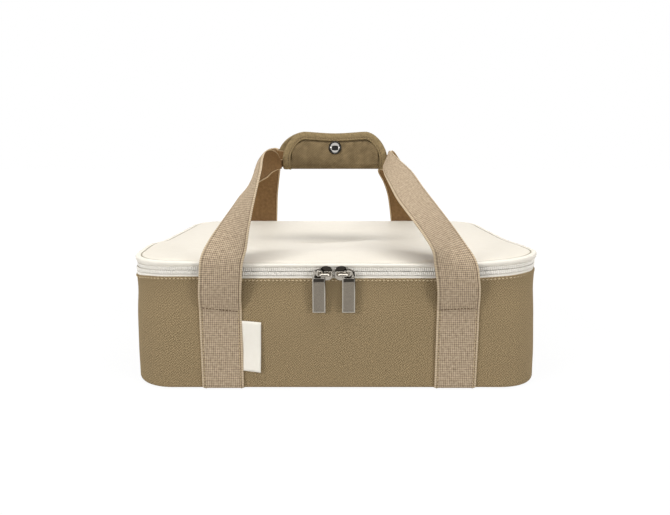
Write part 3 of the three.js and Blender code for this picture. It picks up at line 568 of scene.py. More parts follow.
pipingSection = []
for n in range(piping["sides"]):
    angle = math.tau * (n + 0.5) / piping["sides"]
    pipingSection.append((piping["out"] + piping["radius"] * flatten(math.cos(angle)),
                          piping["height"] + piping["radius"] * flatten(math.sin(angle))))
# The piping and its gusset take the canvas painted paler, painted light on their shaded underside
lidPiping = bandMesh("lid_piping", pipingSection, litEdgeCanvas, shift=pipingShift)
dress(lidPiping, "lid", "cream_cloth", "lid_piping")

gussetSection = [(-1.2, 119.9), (0.0, 119.9), (0.7, 120.4), (0.9, 121.2), (0.6, 122.2), (-1.2, 122.4)]
lidGusset = bandMesh("lid_gusset", gussetSection, litEdgeCanvas)
dress(lidGusset, "lid", "cream_cloth", "lid_gusset")

# A grey cord in the seam inside the piping, sunk between it and the top: painted shade of the seam's crease
seam = {"radius": 0.8, "out": -4.0, "height": 124.9, "sides": 8}
seamSection = [(seam["out"] + seam["radius"] * math.cos(math.tau * n / seam["sides"]),
                seam["height"] + seam["radius"] * math.sin(math.tau * n / seam["sides"]))
               for n in range(seam["sides"])]
lidSeamShade = bandMesh("lid_seam_shade", seamSection, seamShadeCord)
dress(lidSeamShade, "lid", "cream_cloth")

# Zip tapes and the two halves of the coil, each turn of it a bead with rounded ends: rings of (lift, size)
zipper = {
    "middle": 116.0, "slit": 0.6, "coilHeight": 3.4, "pitch": 1.9, "coilOut": -0.3, "coilDepth": 0.5,
    "coilHalf": 0.49, "firstTurn": 0.25, "sides": 8,
    "rings": ((-0.5, 0.75), (-0.4, 0.97), (0.4, 0.97), (0.5, 0.75)),
}
bodyTape = bandMesh("body_zip_tape", [
    (-1.5, 107.2), (-0.5, 109.6), (-0.4, 111.3), (-1.6, 111.6), (-1.6, 115.7), (-2.3, 115.7), (-2.3, 107.2)],
    zipTape, allRound=False)
dress(bodyTape, "base", "zip_tape", "body_zip_tape")
lidTape = bandMesh("lid_zip_tape", [
    (-1.6, 116.3), (-1.6, 119.0), (-1.5, 120.2), (-1.4, 121.5), (-1.6, 122.3), (-2.3, 122.3), (-2.3, 116.3)],
    zipTape, allRound=False)
dress(lidTape, "lid", "zip_tape", "lid_zip_tape")


def coilMesh(name, middle, offset):
    verts, faces, corners = [], [], []
    count = int(rimRun[zipStations - 1] / zipper["pitch"])
    angles = [math.tau * k / zipper["sides"] for k in range(zipper["sides"])]
    station = 0
    for n in range(count):
        run = (n + zipper["firstTurn"] + offset) * zipper["pitch"]
        while station + 2 < zipStations and rimRun[station + 1] < run:
            station += 1
        share = (run - rimRun[station]) / (rimRun[station + 1] - rimRun[station])
        out = rimOut[station].lerp(rimOut[station + 1], share).normalized()
        centre = rim[station].lerp(rim[station + 1], share) + out * zipper["coilOut"]
        along = Vector((-out.y, out.x, 0))
        drop = settleAt(centre.x, centre.y, middle)
        centre.x += tuckAt(centre.x, middle)
        rings = []
        for lift, size in zipper["rings"]:
            rings.append([centre + Vector((0, 0, middle + lift * zipper["coilHeight"] + drop))
                          + along * zipper["coilHalf"] * zipper["pitch"] * size * math.cos(angle)
                          + out * zipper["coilDepth"] * size * math.sin(angle) for angle in angles])
        addBead(verts, faces, corners, rings, 0)
    return makeMesh(name, verts, faces, corners, coilPlastic)


coilShift = zipper["coilHeight"] / 2 + zipper["slit"] / 2
bodyCoil = coilMesh("body_zip_coil", zipper["middle"] - coilShift, 0.0)
dress(bodyCoil, "base", "zip_coil", "body_zip_coil")
lidCoil = coilMesh("lid_zip_coil", zipper["middle"] + coilShift, 0.5)
dress(lidCoil, "lid", "zip_coil", "lid_zip_coil")
print("lid and zip made")

# Fabric hinge along the rear edge, between the tub and the lid
hinge = {"half": 157.5, "low": 109.2, "high": 120.4, "face": 135.0, "thick": 1.2, "puff": 0.3,
         "columns": 60, "rows": 8, "clothRow": 1.3}


def hingePoint(i, j):
    x = -hinge["half"] + 2 * hinge["half"] * i / hinge["columns"]
    row, outer = bothFaces(j, hinge["rows"] + 1)
    z = hinge["low"] + (hinge["high"] - hinge["low"]) * row / hinge["rows"]
    puff = hinge["puff"] * math.sin(math.pi * (z - hinge["low"]) / (hinge["high"] - hinge["low"]))
    return (x, hinge["face"] + (puff if outer else -hinge["thick"]), z)


def hingeCloth(i, j):
    return (2 * hinge["half"] / hinge["columns"] * i, hinge["clothRow"] * j)


rearHinge = gridMesh("rear_hinge", hinge["columns"] + 1, 2 * hinge["rows"] + 2, hingePoint, hingeCloth,
                     creamCanvas, wrapCols=True, caps=True)
dress(rearHinge, None, "cream_cloth", "rear_hinge_panel")
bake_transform(rearHinge)

# Lining: a heat-sealed cup, its rim bound in brown tape, and a flat lining in the lid, bound in the same way.
# turn holds the rounded edge of the cup's floor: (height of the wall that it meets, inset, rise)
liner = {
    "depth": 6.9, "thick": 0.8, "floor": 11.6, "floorOuts": (-134, -90, -40, -20), "floorBelow": 14,
    "turn": [(14, 5, 0.2), (14, 1.4, 1.6), (18, 0, 5.5)],
    "wallHeights": (30, 45, 60, 75, 90, 100, 106.6), "bindLow": 97, "bindGap": 0.3,
}


def linerOut(z):
    return wallOut(z) - liner["depth"]


cup = [(out, liner["floor"]) for out in liner["floorOuts"]]
cup += [(linerOut(z) - inset, liner["floor"] + rise) for z, inset, rise in liner["turn"]]
cup += [(linerOut(z), z) for z in liner["wallHeights"]]
cupLoops = [outline(out) for out, _ in cup] + [outline(out - liner["thick"]) for out, _ in reversed(cup)]
cupHeights = [z for _, z in cup]
cupHeights += [z + (liner["thick"] if z < liner["floorBelow"] else 0) for _, z in reversed(cup)]
linerCup = gridMesh("lining_cup", len(rim), len(cupLoops),
                    lambda i, j: (cupLoops[j][i].x, cupLoops[j][i].y, cupHeights[j]), lambda i, j: (0, 0),
                    linerFilm, wrapRows=True, sideCaps=True)
dress(linerCup, "base", "liner", "body_liner", "base_foam_pad")

bindOut = linerOut(liner["bindLow"]) - liner["thick"] - liner["bindGap"]
rimBinding = bandMesh("rim_binding", [
    (-2.6, 107.3), (-2.7, 108.2), (-3.4, 108.6), (-7.6, 108.6), (-8.6, 108.2), (bindOut - 1.2, 107.2),
    (bindOut - 1.2, 98), (bindOut - 0.9, 97.2), (bindOut - 0.2, 97.2), (bindOut, 98), (bindOut, 106.4),
    (-7.2, 107.2)], brownBinding)
dress(rimBinding, "base", "binding", "body_rim_binding")

lidLiner = plateMesh("lid_lining", lid["liningInsets"],
                     lambda x, y, d: lidUnderAt(x, y, d) - lid["liningGap"],
                     lambda x, y, d: lidUnderAt(x, y, d) - lid["liningGap"] - lid["liningThick"], linerFilm)
dress(lidLiner, "lid", "liner", "lid_liner")
lidBinding = bandMesh("lid_binding", [
    (-2.7, 117.4), (-2.7, 118.0), (-3.4, 118.4), (-11.6, 119.0), (-12.5, 118.4), (-12.4, 117.6),
    (-11.6, 117.2), (-3.4, 116.9)], brownBinding)
dress(lidBinding, "lid", "binding", "lid_rim_binding")
print("lining made")

# Webbing: a flat woven strip, a little thinner at its edges
webbing = {
    "width": 40.0, "thick": 1.8, "left": -108.0, "right": 116.0, "gap": 0.35, "apart": 0.3,
    "edgeFrom": 0.93, "edgeThin": 0.55, "cupRest": 0.35,
    "sewnHeights": (79.4, 76, 70, 62, 54, 46, 38, 30, 22, 14, 8, 5.6),
    "underStations": (-130, -110, -70, -30),
}
webbingSpread = [-1, -0.985, -0.95, -0.75, -0.5, -0.25, 0, 0.25, 0.5, 0.75, 0.95, 0.985, 1]


def ribbonMesh(name, stops, innerFace):
    side = len(webbingSpread)
    runs = [0.0]
    for before, after in zip(stops, stops[1:]):
        runs.append(runs[-1] + (after["at"] - before["at"]).length)

    def point(i, j):
        stop = stops[i]
        column, outer = bothFaces(j, side)
        share = webbingSpread[column]
        edge = max(0, (abs(share) - webbing["edgeFrom"]) / (1 - webbing["edgeFrom"]))
        half = stop["thick"] / 2 * (1 - webbing["edgeThin"] * edge ** 2)
        lift = (half if outer else -half) + stop["cup"] * (share * share - webbing["cupRest"])
        return stop["at"] + stop["across"] * (share * stop["width"] / 2) + stop["out"] * lift

    def uv(i, j):
        column, _ = bothFaces(j % (2 * side), side)
        return (webbingSpread[column] * webbing["width"] / 2, runs[i])

    piece = gridMesh(name, len(stops), 2 * side, point, uv, tanWebbing, wrapCols=True, caps=True)
    # Faces on the webbing's inner side take the brown that is painted shade
    piece.data.materials.append(shadedInnerWebbing)
    for face in piece.data.polygons[:2 * side * (len(stops) - 1)]:
        i, j = divmod(face.index, 2 * side)
        if j not in (side - 1, 2 * side - 1) and (j < side) == (innerFace(i / len(stops)) > 0):
            face.material_index = 1
    return piece


sewnPath = [(frontY - wallOut(z), z) for z in webbing["sewnHeights"]]
for n in range(1, tub["footSteps"] + 1):
    out, z = footTurn(1 - n / tub["footSteps"], tub["footTurn"], tub["footHeight"], tub["under"])
    sewnPath.append((frontY - out, z))
sewnPath += [(y, tub["under"]) for y in webbing["underStations"]]
sewnPath += [(-y, z) for y, z in reversed(sewnPath)]


def sewnStops(centre):
    stops = []
    for n, (y, z) in enumerate(sewnPath):
        before, after = sewnPath[max(n - 1, 0)], sewnPath[min(n + 1, len(sewnPath) - 1)]
        along = Vector((0, after[0] - before[0], after[1] - before[1])).normalized()
        away = Vector((0, along.z, -along.y))
        stops.append({"at": Vector((centre, y, z)) + away * (webbing["gap"] + webbing["thick"] / 2),
                      "across": Vector((1, 0, 0)), "out": away, "width": webbing["width"],
                      "thick": webbing["thick"], "cup": 0.0})
    return stops


for label in ("left", "right"):
    strap = ribbonMesh(f"strap_{label}", sewnStops(webbing[label]), lambda share: -1)
    dress(strap, "base", "webbing", f"strap_{label}_sewn")
print("sewn straps made")

# Handle loops, from the stitching on one leg to the stitching on the other: place, way across, then width,
# thickness and cup where they aren't the usual ones
usualSizes = (webbing["width"], webbing["thick"], 0)
frontLoop = [
    ((-108, -136.8, 79.4), (1, 0, 0)), ((-107, -141.3, 95), (1, 0, 0)),
    ((-105.5, -143, 110), (1, -0.03, 0)), ((-103.5, -142.5, 128), (0.99, -0.08, -0.08)),
    ((-99, -138, 141), (0.95, -0.29, -0.11)), ((-93.5, -132, 155.5), (0.79, -0.6, -0.1)),
    ((-87, -124, 172.5), (0.63, -0.78, 0.02)), ((-81.5, -113, 189), (0.49, -0.86, 0.16), 39, 1.8, -1.5),
    ((-77.5, -98, 201.5), (0.3, -0.86, 0.4), 39, 1.8, -4.5),
    ((-76.5, -80, 208.5), (0.15, -0.78, 0.6), 38, 1.8, -6),
    ((-75, -60, 212.5), (0.05, -0.6, 0.8), 34, 1.8, -6),
    ((-72, -36, 215.5), (0.03, -0.37, 0.93), 27, 1.8, -5),
    ((-67, -18, 215), (0.05, -0.25, 0.97), 20, 2, -3), ((-62.5, -8, 211.4), (0, -0.1, 0.99), 10, 3, -0.5),
    ((-59.5, -2.6, 212.6), (0, 0, 1), 8.5, 4.2), ((0, -2.25, 215.4), (0, 0, 1), 11.6, 3.7),
    ((60.8, -2.25, 215.4), (0, 0, 1), 11.6, 3.7), ((61.6, -7, 216), (0.1, 0.1, 0.98), 13, 2.6),
    ((58.5, -14.5, 218), (0.38, 0.3, 0.87), 19.5, 2), ((61, -35, 210.5), (0.65, 0.5, 0.57), 26),
    ((68, -64, 199), (0.76, 0.54, 0.35), 34), ((74.5, -93, 185), (0.78, 0.58, 0.24), 38),
    ((82.5, -114, 172.5), (0.76, 0.61, 0.21), 39), ((93, -129, 157.5), (0.72, 0.65, 0.23)),
    ((103, -137, 142), (0.8, 0.57, 0.17)), ((110, -142.5, 126), (0.98, 0.12, 0.05)),
    ((113.5, -143, 108), (1, 0, 0)), ((115, -141.3, 95), (1, 0, 0)), ((116, -136.8, 79.4), (1, 0, 0)),
]
rearLoop = [
    ((-108, 136.8, 79.4), (-1, 0, 0)), ((-107, 141.5, 100), (-1, 0, 0)), ((-105.5, 145, 122), (-1, 0, 0)),
    ((-104.5, 147, 146), (-1, 0, 0.05)), ((-103, 144, 168), (-1, 0, 0.15)),
    ((-98, 132, 189), (-0.95, 0, 0.3), 38), ((-90, 106, 206), (-0.85, 0, 0.5), 34),
    ((-80, 66, 215), (-0.6, 0, 0.8), 29, 2, 1), ((-72, 27, 219.5), (-0.25, 0, 0.95), 21, 2.4, 1.5),
    ((-66.5, 6, 222), (0, 0, 1), 14, 3, 1), ((-60.8, 2.6, 221.5), (0, 0, 1), 10, 3.9),
    ((0, 2.25, 215.4), (0, 0, 1), 11.6, 3.7), ((60.8, 2.6, 217), (0, 0, 1), 10, 3.9),
    ((63, 6, 214), (0, 0, 1), 12, 3, 1), ((64, 27, 212), (0.25, 0, 0.95), 20, 2.4, 1.5),
    ((66, 66, 215), (0.6, 0, 0.8), 29, 2, 1), ((74, 106, 206), (0.85, 0, 0.5), 34),
    ((87, 132, 189), (0.95, 0, 0.3), 38), ((96, 144, 168), (1, 0, 0.15)), ((100, 147, 146), (1, 0, 0.05)),
    ((103, 145, 122), (1, 0, 0)), ((109, 141.5, 100), (1, 0, 0)), ((116, 136.8, 79.4), (1, 0, 0)),
]


# Smooth curve through values (Catmull-Rom)
def curveThrough(values, share):
    n = min(int(share), len(values) - 2)
    t = share - n
    a, b, c, d = (values[min(max(k, 0), len(values) - 1)] for k in (n - 1, n, n + 1, n + 2))
    bend = (2 * a - 5 * b + 4 * c - d) * t * t
    return 0.5 * (2 * b + (c - a) * t + bend + (3 * b - a - 3 * c + d) * t ** 3)


def loopStops(loop, side, steps=9):
    knots = [knot + usualSizes[len(knot) - 2:] for knot in loop]
    middles = [Vector(place) for place, *_ in knots]
    halves = [Vector(across).normalized() * width / 2 for _, across, width, *_ in knots]
    thicks = [thick for *_, thick, _ in knots]
    cups = [cup for *_, cup in knots]
    stops = []
    for n in range((len(knots) - 1) * steps + 1):
        share = n / steps
        at = curveThrough(middles, share)
        half = curveThrough(halves, share)
        thick = curveThrough(thicks, share)
        nearest = webbing["apart"] + thick / 2
        at.y = side * max(side * at.y, nearest)
        stops.append({"at": at, "across": half.normalized(), "width": 2 * half.length, "thick": thick,
                      "cup": curveThrough(cups, share)})
    for n, stop in enumerate(stops):
        along = (stops[min(n + 1, len(stops) - 1)]["at"] - stops[max(n - 1, 0)]["at"]).normalized()
        stop["out"] = stop["across"].cross(along).normalized()
    return stops


# The front loop turns over inside the grip, so its inner face changes sides half way
frontHandle = ribbonMesh("front_handle", loopStops(frontLoop, -1), lambda share: -1 if share < 0.5 else 1)
dress(frontHandle, None, "webbing", "front_handle_webbing")
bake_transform(frontHandle)
rearHandle = ribbonMesh("rear_handle", loopStops(rearLoop, 1), lambda share: -1)
dress(rearHandle, None, "webbing", "rear_handle_webbing")
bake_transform(rearHandle)
print("handle loops made")

# Stitching on the webbing: a row along each edge of the sewn runs and one row across at the top
edgeStitch = {"shift": 17.2, "depth": 0.92, "pitch": 3.4, "length": 2.3, "radius": 0.4}
crossStitch = {
    "reach": 17, "step": 2, "depth": 0.95, "follow": 0.25, "pitch": 3.0, "length": 2.3, "radius": 0.55,
    "lean": {"left": -1.9, "right": 1.1}, "rise": {"left": 0.2, "right": 1.0},
}
for label in ("left", "right"):
    stops = sewnStops(webbing[label])
    for edge, side in (("inner", 1), ("outer", -1)):
        shift = Vector((side * edgeStitch["shift"], 0, 0))
        path = [(s["at"] + shift + s["out"] * edgeStitch["depth"], s["out"]) for s in stops]
        row = stitchRow(f"strap_{label}_{edge}_stitching", path, edgeStitch["pitch"], edgeStitch["length"],
                        edgeStitch["radius"], tanThread)
        dress(row, "base", "webbing")
    reach = crossStitch["reach"]
    for face, stop, rise in (("front", stops[0], crossStitch["rise"][label]), ("rear", stops[-1], 0.0)):
        path = []
        for x in range(-reach, reach + 1, crossStitch["step"]):
            lift = rise + crossStitch["lean"][label] * x / reach
            proud = stop["out"] * (crossStitch["depth"] + crossStitch["follow"] * max(lift, 0))
            path.append((stop["at"] + Vector((x, 0, lift)) + proud, stop["out"]))
        row = stitchRow(f"strap_{label}_{face}_cross_stitching", path, crossStitch["pitch"],
                        crossStitch["length"], crossStitch["radius"], darkThread)
        dress(row, "base", "webbing")

# Side tag: folded woven strip that stands out from under the strap's inner edge
tag = {
    "from": -88.5, "reach": 18.0, "foot": 18.6, "height": 49.4, "thick": 0.8, "slant": 1.6, "lean": 1.2,
    "rows": 24, "columns": 8, "clothStep": 2.2, "gap": 0.5, "curl": 1.6, "curlEven": 0.6, "curlWave": 0.4,
    "curlRun": 17, "wave": 0.3, "waveRun": 9,
}


def tagPoint(i, j):
    column, outer = bothFaces(j, tag["columns"] + 1)
    share = column / tag["columns"]
    rise = i / tag["rows"]
    z = tag["foot"] + tag["height"] * rise - tag["slant"] * (share - 0.5)
    x = tag["from"] + tag["reach"] * share + tag["lean"] * share * (rise - 0.5)
    uneven = tag["curlEven"] + tag["curlWave"] * math.sin(z / tag["curlRun"])
    curl = tag["gap"] + tag["curl"] * share * share * uneven + tag["wave"] * math.sin(z / tag["waveRun"])
    return (x, frontY - wallOut(z) - curl - (tag["thick"] if outer else 0), z)


def tagWeave(i, j):
    column, _ = bothFaces(j, tag["columns"] + 1)
    return (tag["clothStep"] * column, tag["clothStep"] * i)


sideTag = gridMesh("side_tag", tag["rows"] + 1, 2 * tag["columns"] + 2, tagPoint, tagWeave, tagCloth,
                   wrapCols=True, caps=True)
dress(sideTag, "base", "tag", "side_tag")
print("tag and stitching made")

# Grip wrap: a back panel and a front flap, each half of one padded piece that is folded along the bottom
grip = {
    "half": 59.3, "bottom": 206.0, "hinge": 212.0, "top": 247.7, "halfDepth": 9.2, "topHalf": 4.5,
    "cornerWide": 25.0, "cornerTall": 30.5, "cornerPower": 1.75, "dip": 2.0, "dipHalf": 42, "foldPower": 2.6,
    "thick": 3.0, "rounding": 0.5, "roundRun": 0.8, "apart": 0.1, "slopeStep": 0.05,
    "puff": 1.5, "puffRun": 6, "puffRise": 8, "ruffle": 1.5, "ruffleRun": 19, "ruffleSeed": 7.3,
    "binding": 8.6, "groove": 1.7, "grooveIn": 0.5, "grooveRun": 0.9,
    "backReach": 7.5, "backFrom": 30, "backHeights": (206, 231),
    "faceRows": 40, "foldRows": 9, "clothRow": 0.85,
    "footHeights": (206.5, 207.4, 208.6, 210, 211.5, 213, 214.5, 216, 217),
    "edgeSteps": 60, "edgeStart": 0.3, "edgeSpan": 60.4,
}
gripSlope = (grip["halfDepth"] - grip["topHalf"]) / (grip["top"] - grip["hinge"])
gripColumns = [grip["half"] * math.sin(math.radians(a)) for a in range(-90, 91, 2)]


def gripTopAt(x):
    away = max(0, abs(x) - (grip["half"] - grip["cornerWide"])) / grip["cornerWide"]
    dip = 0
    if abs(x) < grip["dipHalf"]:
        dip = grip["dip"] * math.cos(math.pi * x / 2 / grip["dipHalf"]) ** 2
    arch = max(1 - away ** grip["cornerPower"], 0) ** (1 / grip["cornerPower"])
    return grip["top"] - grip["cornerTall"] * (1 - arch) - dip


# Half depth of the wrap at a height: a leaning face above the fold, a rounded fold below
def gripFace(z):
    if z >= grip["hinge"]:
        return grip["halfDepth"] - gripSlope * (z - grip["hinge"])
    down = min((grip["hinge"] - z) / (grip["hinge"] - grip["bottom"]), 1)
    return grip["halfDepth"] * math.sqrt(1 - down ** grip["foldPower"])


def gripOutward(z):
    step = grip["slopeStep"]
    rise = (gripFace(z + step) - gripFace(z - step)) / (2 * step)
    return Vector((0, 1, -rise)).normalized()


def gripEdge(x, z):
    return min(grip["half"] - abs(x), gripTopAt(x) - z)


def gripPuff(x, z):
    past = gripEdge(x, z) - grip["binding"]
    low = smoothStep(grip["bottom"], grip["hinge"] + grip["puffRise"], z)
    groove = grip["groove"] * math.exp(-(past - grip["grooveIn"]) ** 2 / grip["grooveRun"])
    spot = Vector((x / 2 / grip["ruffleRun"], z / grip["ruffleRun"], grip["ruffleSeed"]))
    ruffle = grip["ruffle"] * noise.noise(spot)
    return (grip["puff"] + ruffle) * (1 - math.exp(-max(past, 0) / grip["puffRun"])) * low - groove * low


# The back panel's left end stands out a little past the flap
def backShift(x, z, side):
    if side < 0:
        return 0
    along = smoothStep(grip["backFrom"], grip["half"], -x)
    return -grip["backReach"] * along * smoothStep(*grip["backHeights"], z)


def wrapMesh(name, side):
    faceRows, foldRows = grip["faceRows"], grip["foldRows"]
    depths = [k / faceRows for k in range(faceRows)] + [1 + k / foldRows for k in range(foldRows + 1)]

    def point(i, j):
        row, outer = bothFaces(j, len(depths))
        depth = depths[row]
        x = gripColumns[i]
        if depth <= 1:
            z = gripTopAt(x) + (grip["hinge"] - gripTopAt(x)) * depth
        else:
            z = grip["hinge"] - (grip["hinge"] - grip["bottom"]) * math.sin(math.pi / 2 * (depth - 1))
        rounding = grip["rounding"] * grip["thick"] * math.exp(-max(gripEdge(x, z), 0) / grip["roundRun"])
        sink = rounding - gripPuff(x, z) if outer else grip["thick"] - rounding
        place = Vector((x + backShift(x, z, side), gripFace(z), z)) - gripOutward(z) * sink
        return (place.x, side * max(place.y, grip["apart"]), place.z)

    def uv(i, j):
        row, _ = bothFaces(j % (2 * len(depths)), len(depths))
        return (gripColumns[i], grip["clothRow"] * row)

    # Both halves of the wrap take the grip twill with its painted shade and fold patches
    return gridMesh(name, len(gripColumns), 2 * len(depths), point, uv, shadedGripTwill, wrapCols=True, caps=True)


gripFlap = wrapMesh("grip_flap", -1)
dress(gripFlap, None, "twill", "grip_front_flap", "grip_flap_padding")
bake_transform(gripFlap)
gripBack = wrapMesh("grip_back", 1)
dress(gripBack, "rear_handle", "twill", "grip_back_panel", "grip_back_padding")

# Edge path of the wrap, from the left foot over the top to the right foot, with the way inward
gripPath = [Vector((-grip["half"], 0, z)) for z in grip["footHeights"]]
for n in range(1, grip["edgeSteps"] + 1):
    x = -grip["half"] * math.cos(math.pi * (n - grip["edgeStart"]) / grip["edgeSpan"])
    gripPath.append(Vector((x, 0, gripTopAt(x))))
gripPath += [Vector((grip["half"], 0, z)) for z in reversed(grip["footHeights"])]


def inwardAt(i):
    along = (gripPath[min(i + 1, len(gripPath) - 1)] - gripPath[max(i - 1, 0)]).normalized()
    return Vector((along.z, 0, -along.x))


def gripSpot(i, inset, depth, side):
    spot = gripPath[i] + inwardAt(i) * inset
    face = Vector((spot.x + backShift(spot.x, spot.z, side), gripFace(spot.z), spot.z))
    place = face - gripOutward(spot.z) * depth
    return Vector((place.x, side * place.y, place.z))


# Binding tape: the ridge of its sewn edge, the dip of the stitches, then over the rim and down the inside
def bindingMesh(name, side):
    wide, total = grip["binding"], grip["thick"]
    section = [
        (wide, -0.2), (wide - 0.15, -1.0), (wide - 0.8, -1.35), (wide - 1.5, -1.15), (wide - 2.2, -0.6),
        (wide - 3.0, -0.95), (wide / 2, -1.05), (1.2, -0.8), (0.1, 0.1), (-0.45, total / 2),
        (0.1, total - 0.1), (1.2, total + 0.45), (wide - 0.6, total + 0.5), (wide, total + 0.1),
        (wide - 1, total), (1.4, total - 0.1), (0.5, total / 2), (1.4, 0.2), (wide - 1, -0.05)]
    return gridMesh(name, len(gripPath), len(section), lambda i, j: gripSpot(i, *section[j], side),
                    lambda i, j: (2.2 * i, 1.2 * j), brownBinding, wrapCols=True, caps=True)


flapBinding = bindingMesh("grip_flap_binding", -1)
dress(flapBinding, None, "binding", "grip_flap_binding")
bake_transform(flapBinding)
backBinding = bindingMesh("grip_back_binding", 1)
dress(backBinding, "rear_handle", "binding", "grip_back_binding")
gripStitch = {"inset": 2.2, "depth": -0.75, "lean": 0.13, "pitch": 2.9, "length": 1.7, "radius": 0.42}
for label, side, body in (("flap", -1, None), ("back", 1, "rear_handle")):
    path = []
    for i in range(1, len(gripPath) - 1):
        place = gripSpot(i, grip["binding"] - gripStitch["inset"], gripStitch["depth"], side)
        path.append((place, Vector((0, side, gripStitch["lean"]))))
    row = stitchRow(f"grip_{label}_stitching", path, gripStitch["pitch"], gripStitch["length"],
                    gripStitch["radius"], darkThread)
    dress(row, body, "binding")
    if not body:
        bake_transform(row)
print("grip made")

# Snap: pressed cap with a rolled rim and a shallow dome; its profile is (radius, height) from the middle out
snap = {"z": 229.7, "sunk": 0.75, "sides": 48, "brightRings": 6, "pinhole": 0.02}
snapProfile = [
    (0, 2.75), (1.5, 2.7), (3.2, 2.5), (4.6, 2.1), (5.4, 1.75), (5.9, 1.75), (6.4, 1.95), (6.9, 1.8),
    (7.25, 1.3), (7.3, 0.8), (7.1, 0.45), (6.4, 0.4), (1.8, 0.4), (1.8, -2.9), (0, -2.9)]
snapLean = math.atan(gripSlope)
snapOut = Vector((0, -math.cos(snapLean), math.sin(snapLean)))
snapUp = Vector((0, math.sin(snapLean), math.cos(snapLean)))
snapFoot = Vector((0, -gripFace(snap["z"]) - snap["sunk"], snap["z"]))


def snapPoint(i, j):
    radius, along = snapProfile[j]
    angle = math.tau * i / snap["sides"]
    ray = Vector((1, 0, 0)) * math.cos(angle) + snapUp * math.sin(angle)
    return snapFoot + snapOut * along + ray * max(radius, snap["pinhole"])


snapCap = gridMesh("snap_cap", snap["sides"], len(snapProfile), snapPoint, lambda i, j: (i, j), brightNickel,
                   wrapRows=True)
# The snap's rim and outer rings are painted dark, as shade and dark reflection
snapCap.data.materials.append(shadeReflectionZinc)
for face in snapCap.data.polygons:
    if face.index % (len(snapProfile) - 1) >= snap["brightRings"]:
        face.material_index = 1
dress(snapCap, "grip_flap", "bright_nickel", "snap_cap")

# Zip sliders: cast body with a rounded nose, a dome painted dark as a dark reflection, and a lip below the
# coil
slider = {
    "meet": -1.15, "space": 2.4, "length": 16.5, "plate": 2.0, "faceY": -135.3, "middle": 113.9,
    "low": 3.4, "high": 2.6, "noseIn": 2.4, "noseLow": 2.4, "noseWide": 6.0, "noseTall": 3.6,
    "domeRise": 2.65, "domeTall": 5.2, "domeBack": 0.1, "lipLow": 110.0, "lipHigh": 111.9, "lipGap": 0.05,
    "lipDeep": 1.3, "bevel": 0.8,
}

# Crown: the bridge that a pull hangs on, a rounded bow over the plate
bridge = {"outer": 4.1, "inner": 5.9, "rise": 0.6, "sunk": 0.3, "reach": 6.6, "square": 0.55, "bow": 0.5,
          "radius": 1.25, "tall": 1.1, "steps": 24, "sides": 12}

# Pull: a flat tab with a round eye, a slot below it and a sunk field in a raised frame
pull = {
    "offset": 4.4, "width": 12.0, "bottom": 77.8, "thick": 1.7, "frame": 1.05, "y": -139.7,
    "eyeHeight": 113.9, "eye": 5.6, "hole": 3.4, "holeRise": 0.4, "shoulder": 3.0,
    "slotTop": 3.4, "slotFoot": 6.8, "slotFloor": 0.25, "fieldDeep": 0.6, "fieldRound": 0.65,
    "fieldSteps": 12, "cutPast": 2, "bevel": 0.35, "cutBevel": 0.01,
}


def prismMesh(name, rings, material, bevel, segments=2):
    build = bmesh.new()
    for ring, near, far in rings:
        front = [build.verts.new(Vector((x, near, z)) * mm) for x, z in ring]
        back = [build.verts.new(Vector((x, far, z)) * mm) for x, z in ring]
        build.faces.new(front)
        build.faces.new(list(reversed(back)))
        for n in range(len(ring)):
            m = (n + 1) % len(ring)
            build.faces.new([front[m], front[n], back[n], back[m]])
    bmesh.ops.recalc_face_normals(build, faces=build.faces)
    mesh = bpy.data.meshes.new(name)
    build.to_mesh(mesh)
    build.free()
    mesh.uv_layers.new(name="cloth")
    mesh.shade_smooth()
    mesh.materials.append(material)
    piece = bpy.data.objects.new(name, mesh)
    scene.collection.objects.link(piece)
    edge = piece.modifiers.new("edge", "BEVEL")
    edge.width = bevel * mm
    edge.segments = segments
    edge.limit_method = "ANGLE"
    edge.angle_limit = math.radians(40)
    edge.harden_normals = True
    return piece


def arcPoints(centreX, centreZ, radiusX, radiusZ, start, stop, steps):
    angles = [math.radians(start + (stop - start) * n / steps) for n in range(steps + 1)]
    return [(centreX + radiusX * math.cos(a), centreZ + radiusZ * math.sin(a)) for a in angles]


def crownMesh(name, path, material):
    sides = bridge["sides"]

    def point(i, j):
        along = (path[min(i + 1, len(path) - 1)] - path[max(i - 1, 0)]).normalized()
        up = Vector((0, 0, 1))
        other = along.cross(up).normalized()
        angle = math.tau * j / sides
        tall = bridge["radius"] * bridge["tall"]
        return path[i] + up * (tall * math.cos(angle)) + other * (bridge["radius"] * math.sin(angle))

    return gridMesh(name, len(path), sides, point, lambda i, j: (i, j), material, wrapCols=True, caps=True)


# Sunk field of a pull: nearly flat, rounding back under the slot
def fieldCutter(left, right, low, high, near):
    steps = pull["fieldSteps"]

    def point(i, j):
        share = i / steps
        back = near + pull["fieldDeep"] + pull["fieldRound"] * share ** 3
        return (right if j in (1, 2) else left, back if j > 1 else near - pull["cutPast"],
                low + (high - low) * share)

    return gridMesh("field_cut", steps + 1, 4, point, lambda i, j: (i, j), brushedField,
                    wrapCols=True, caps=True)


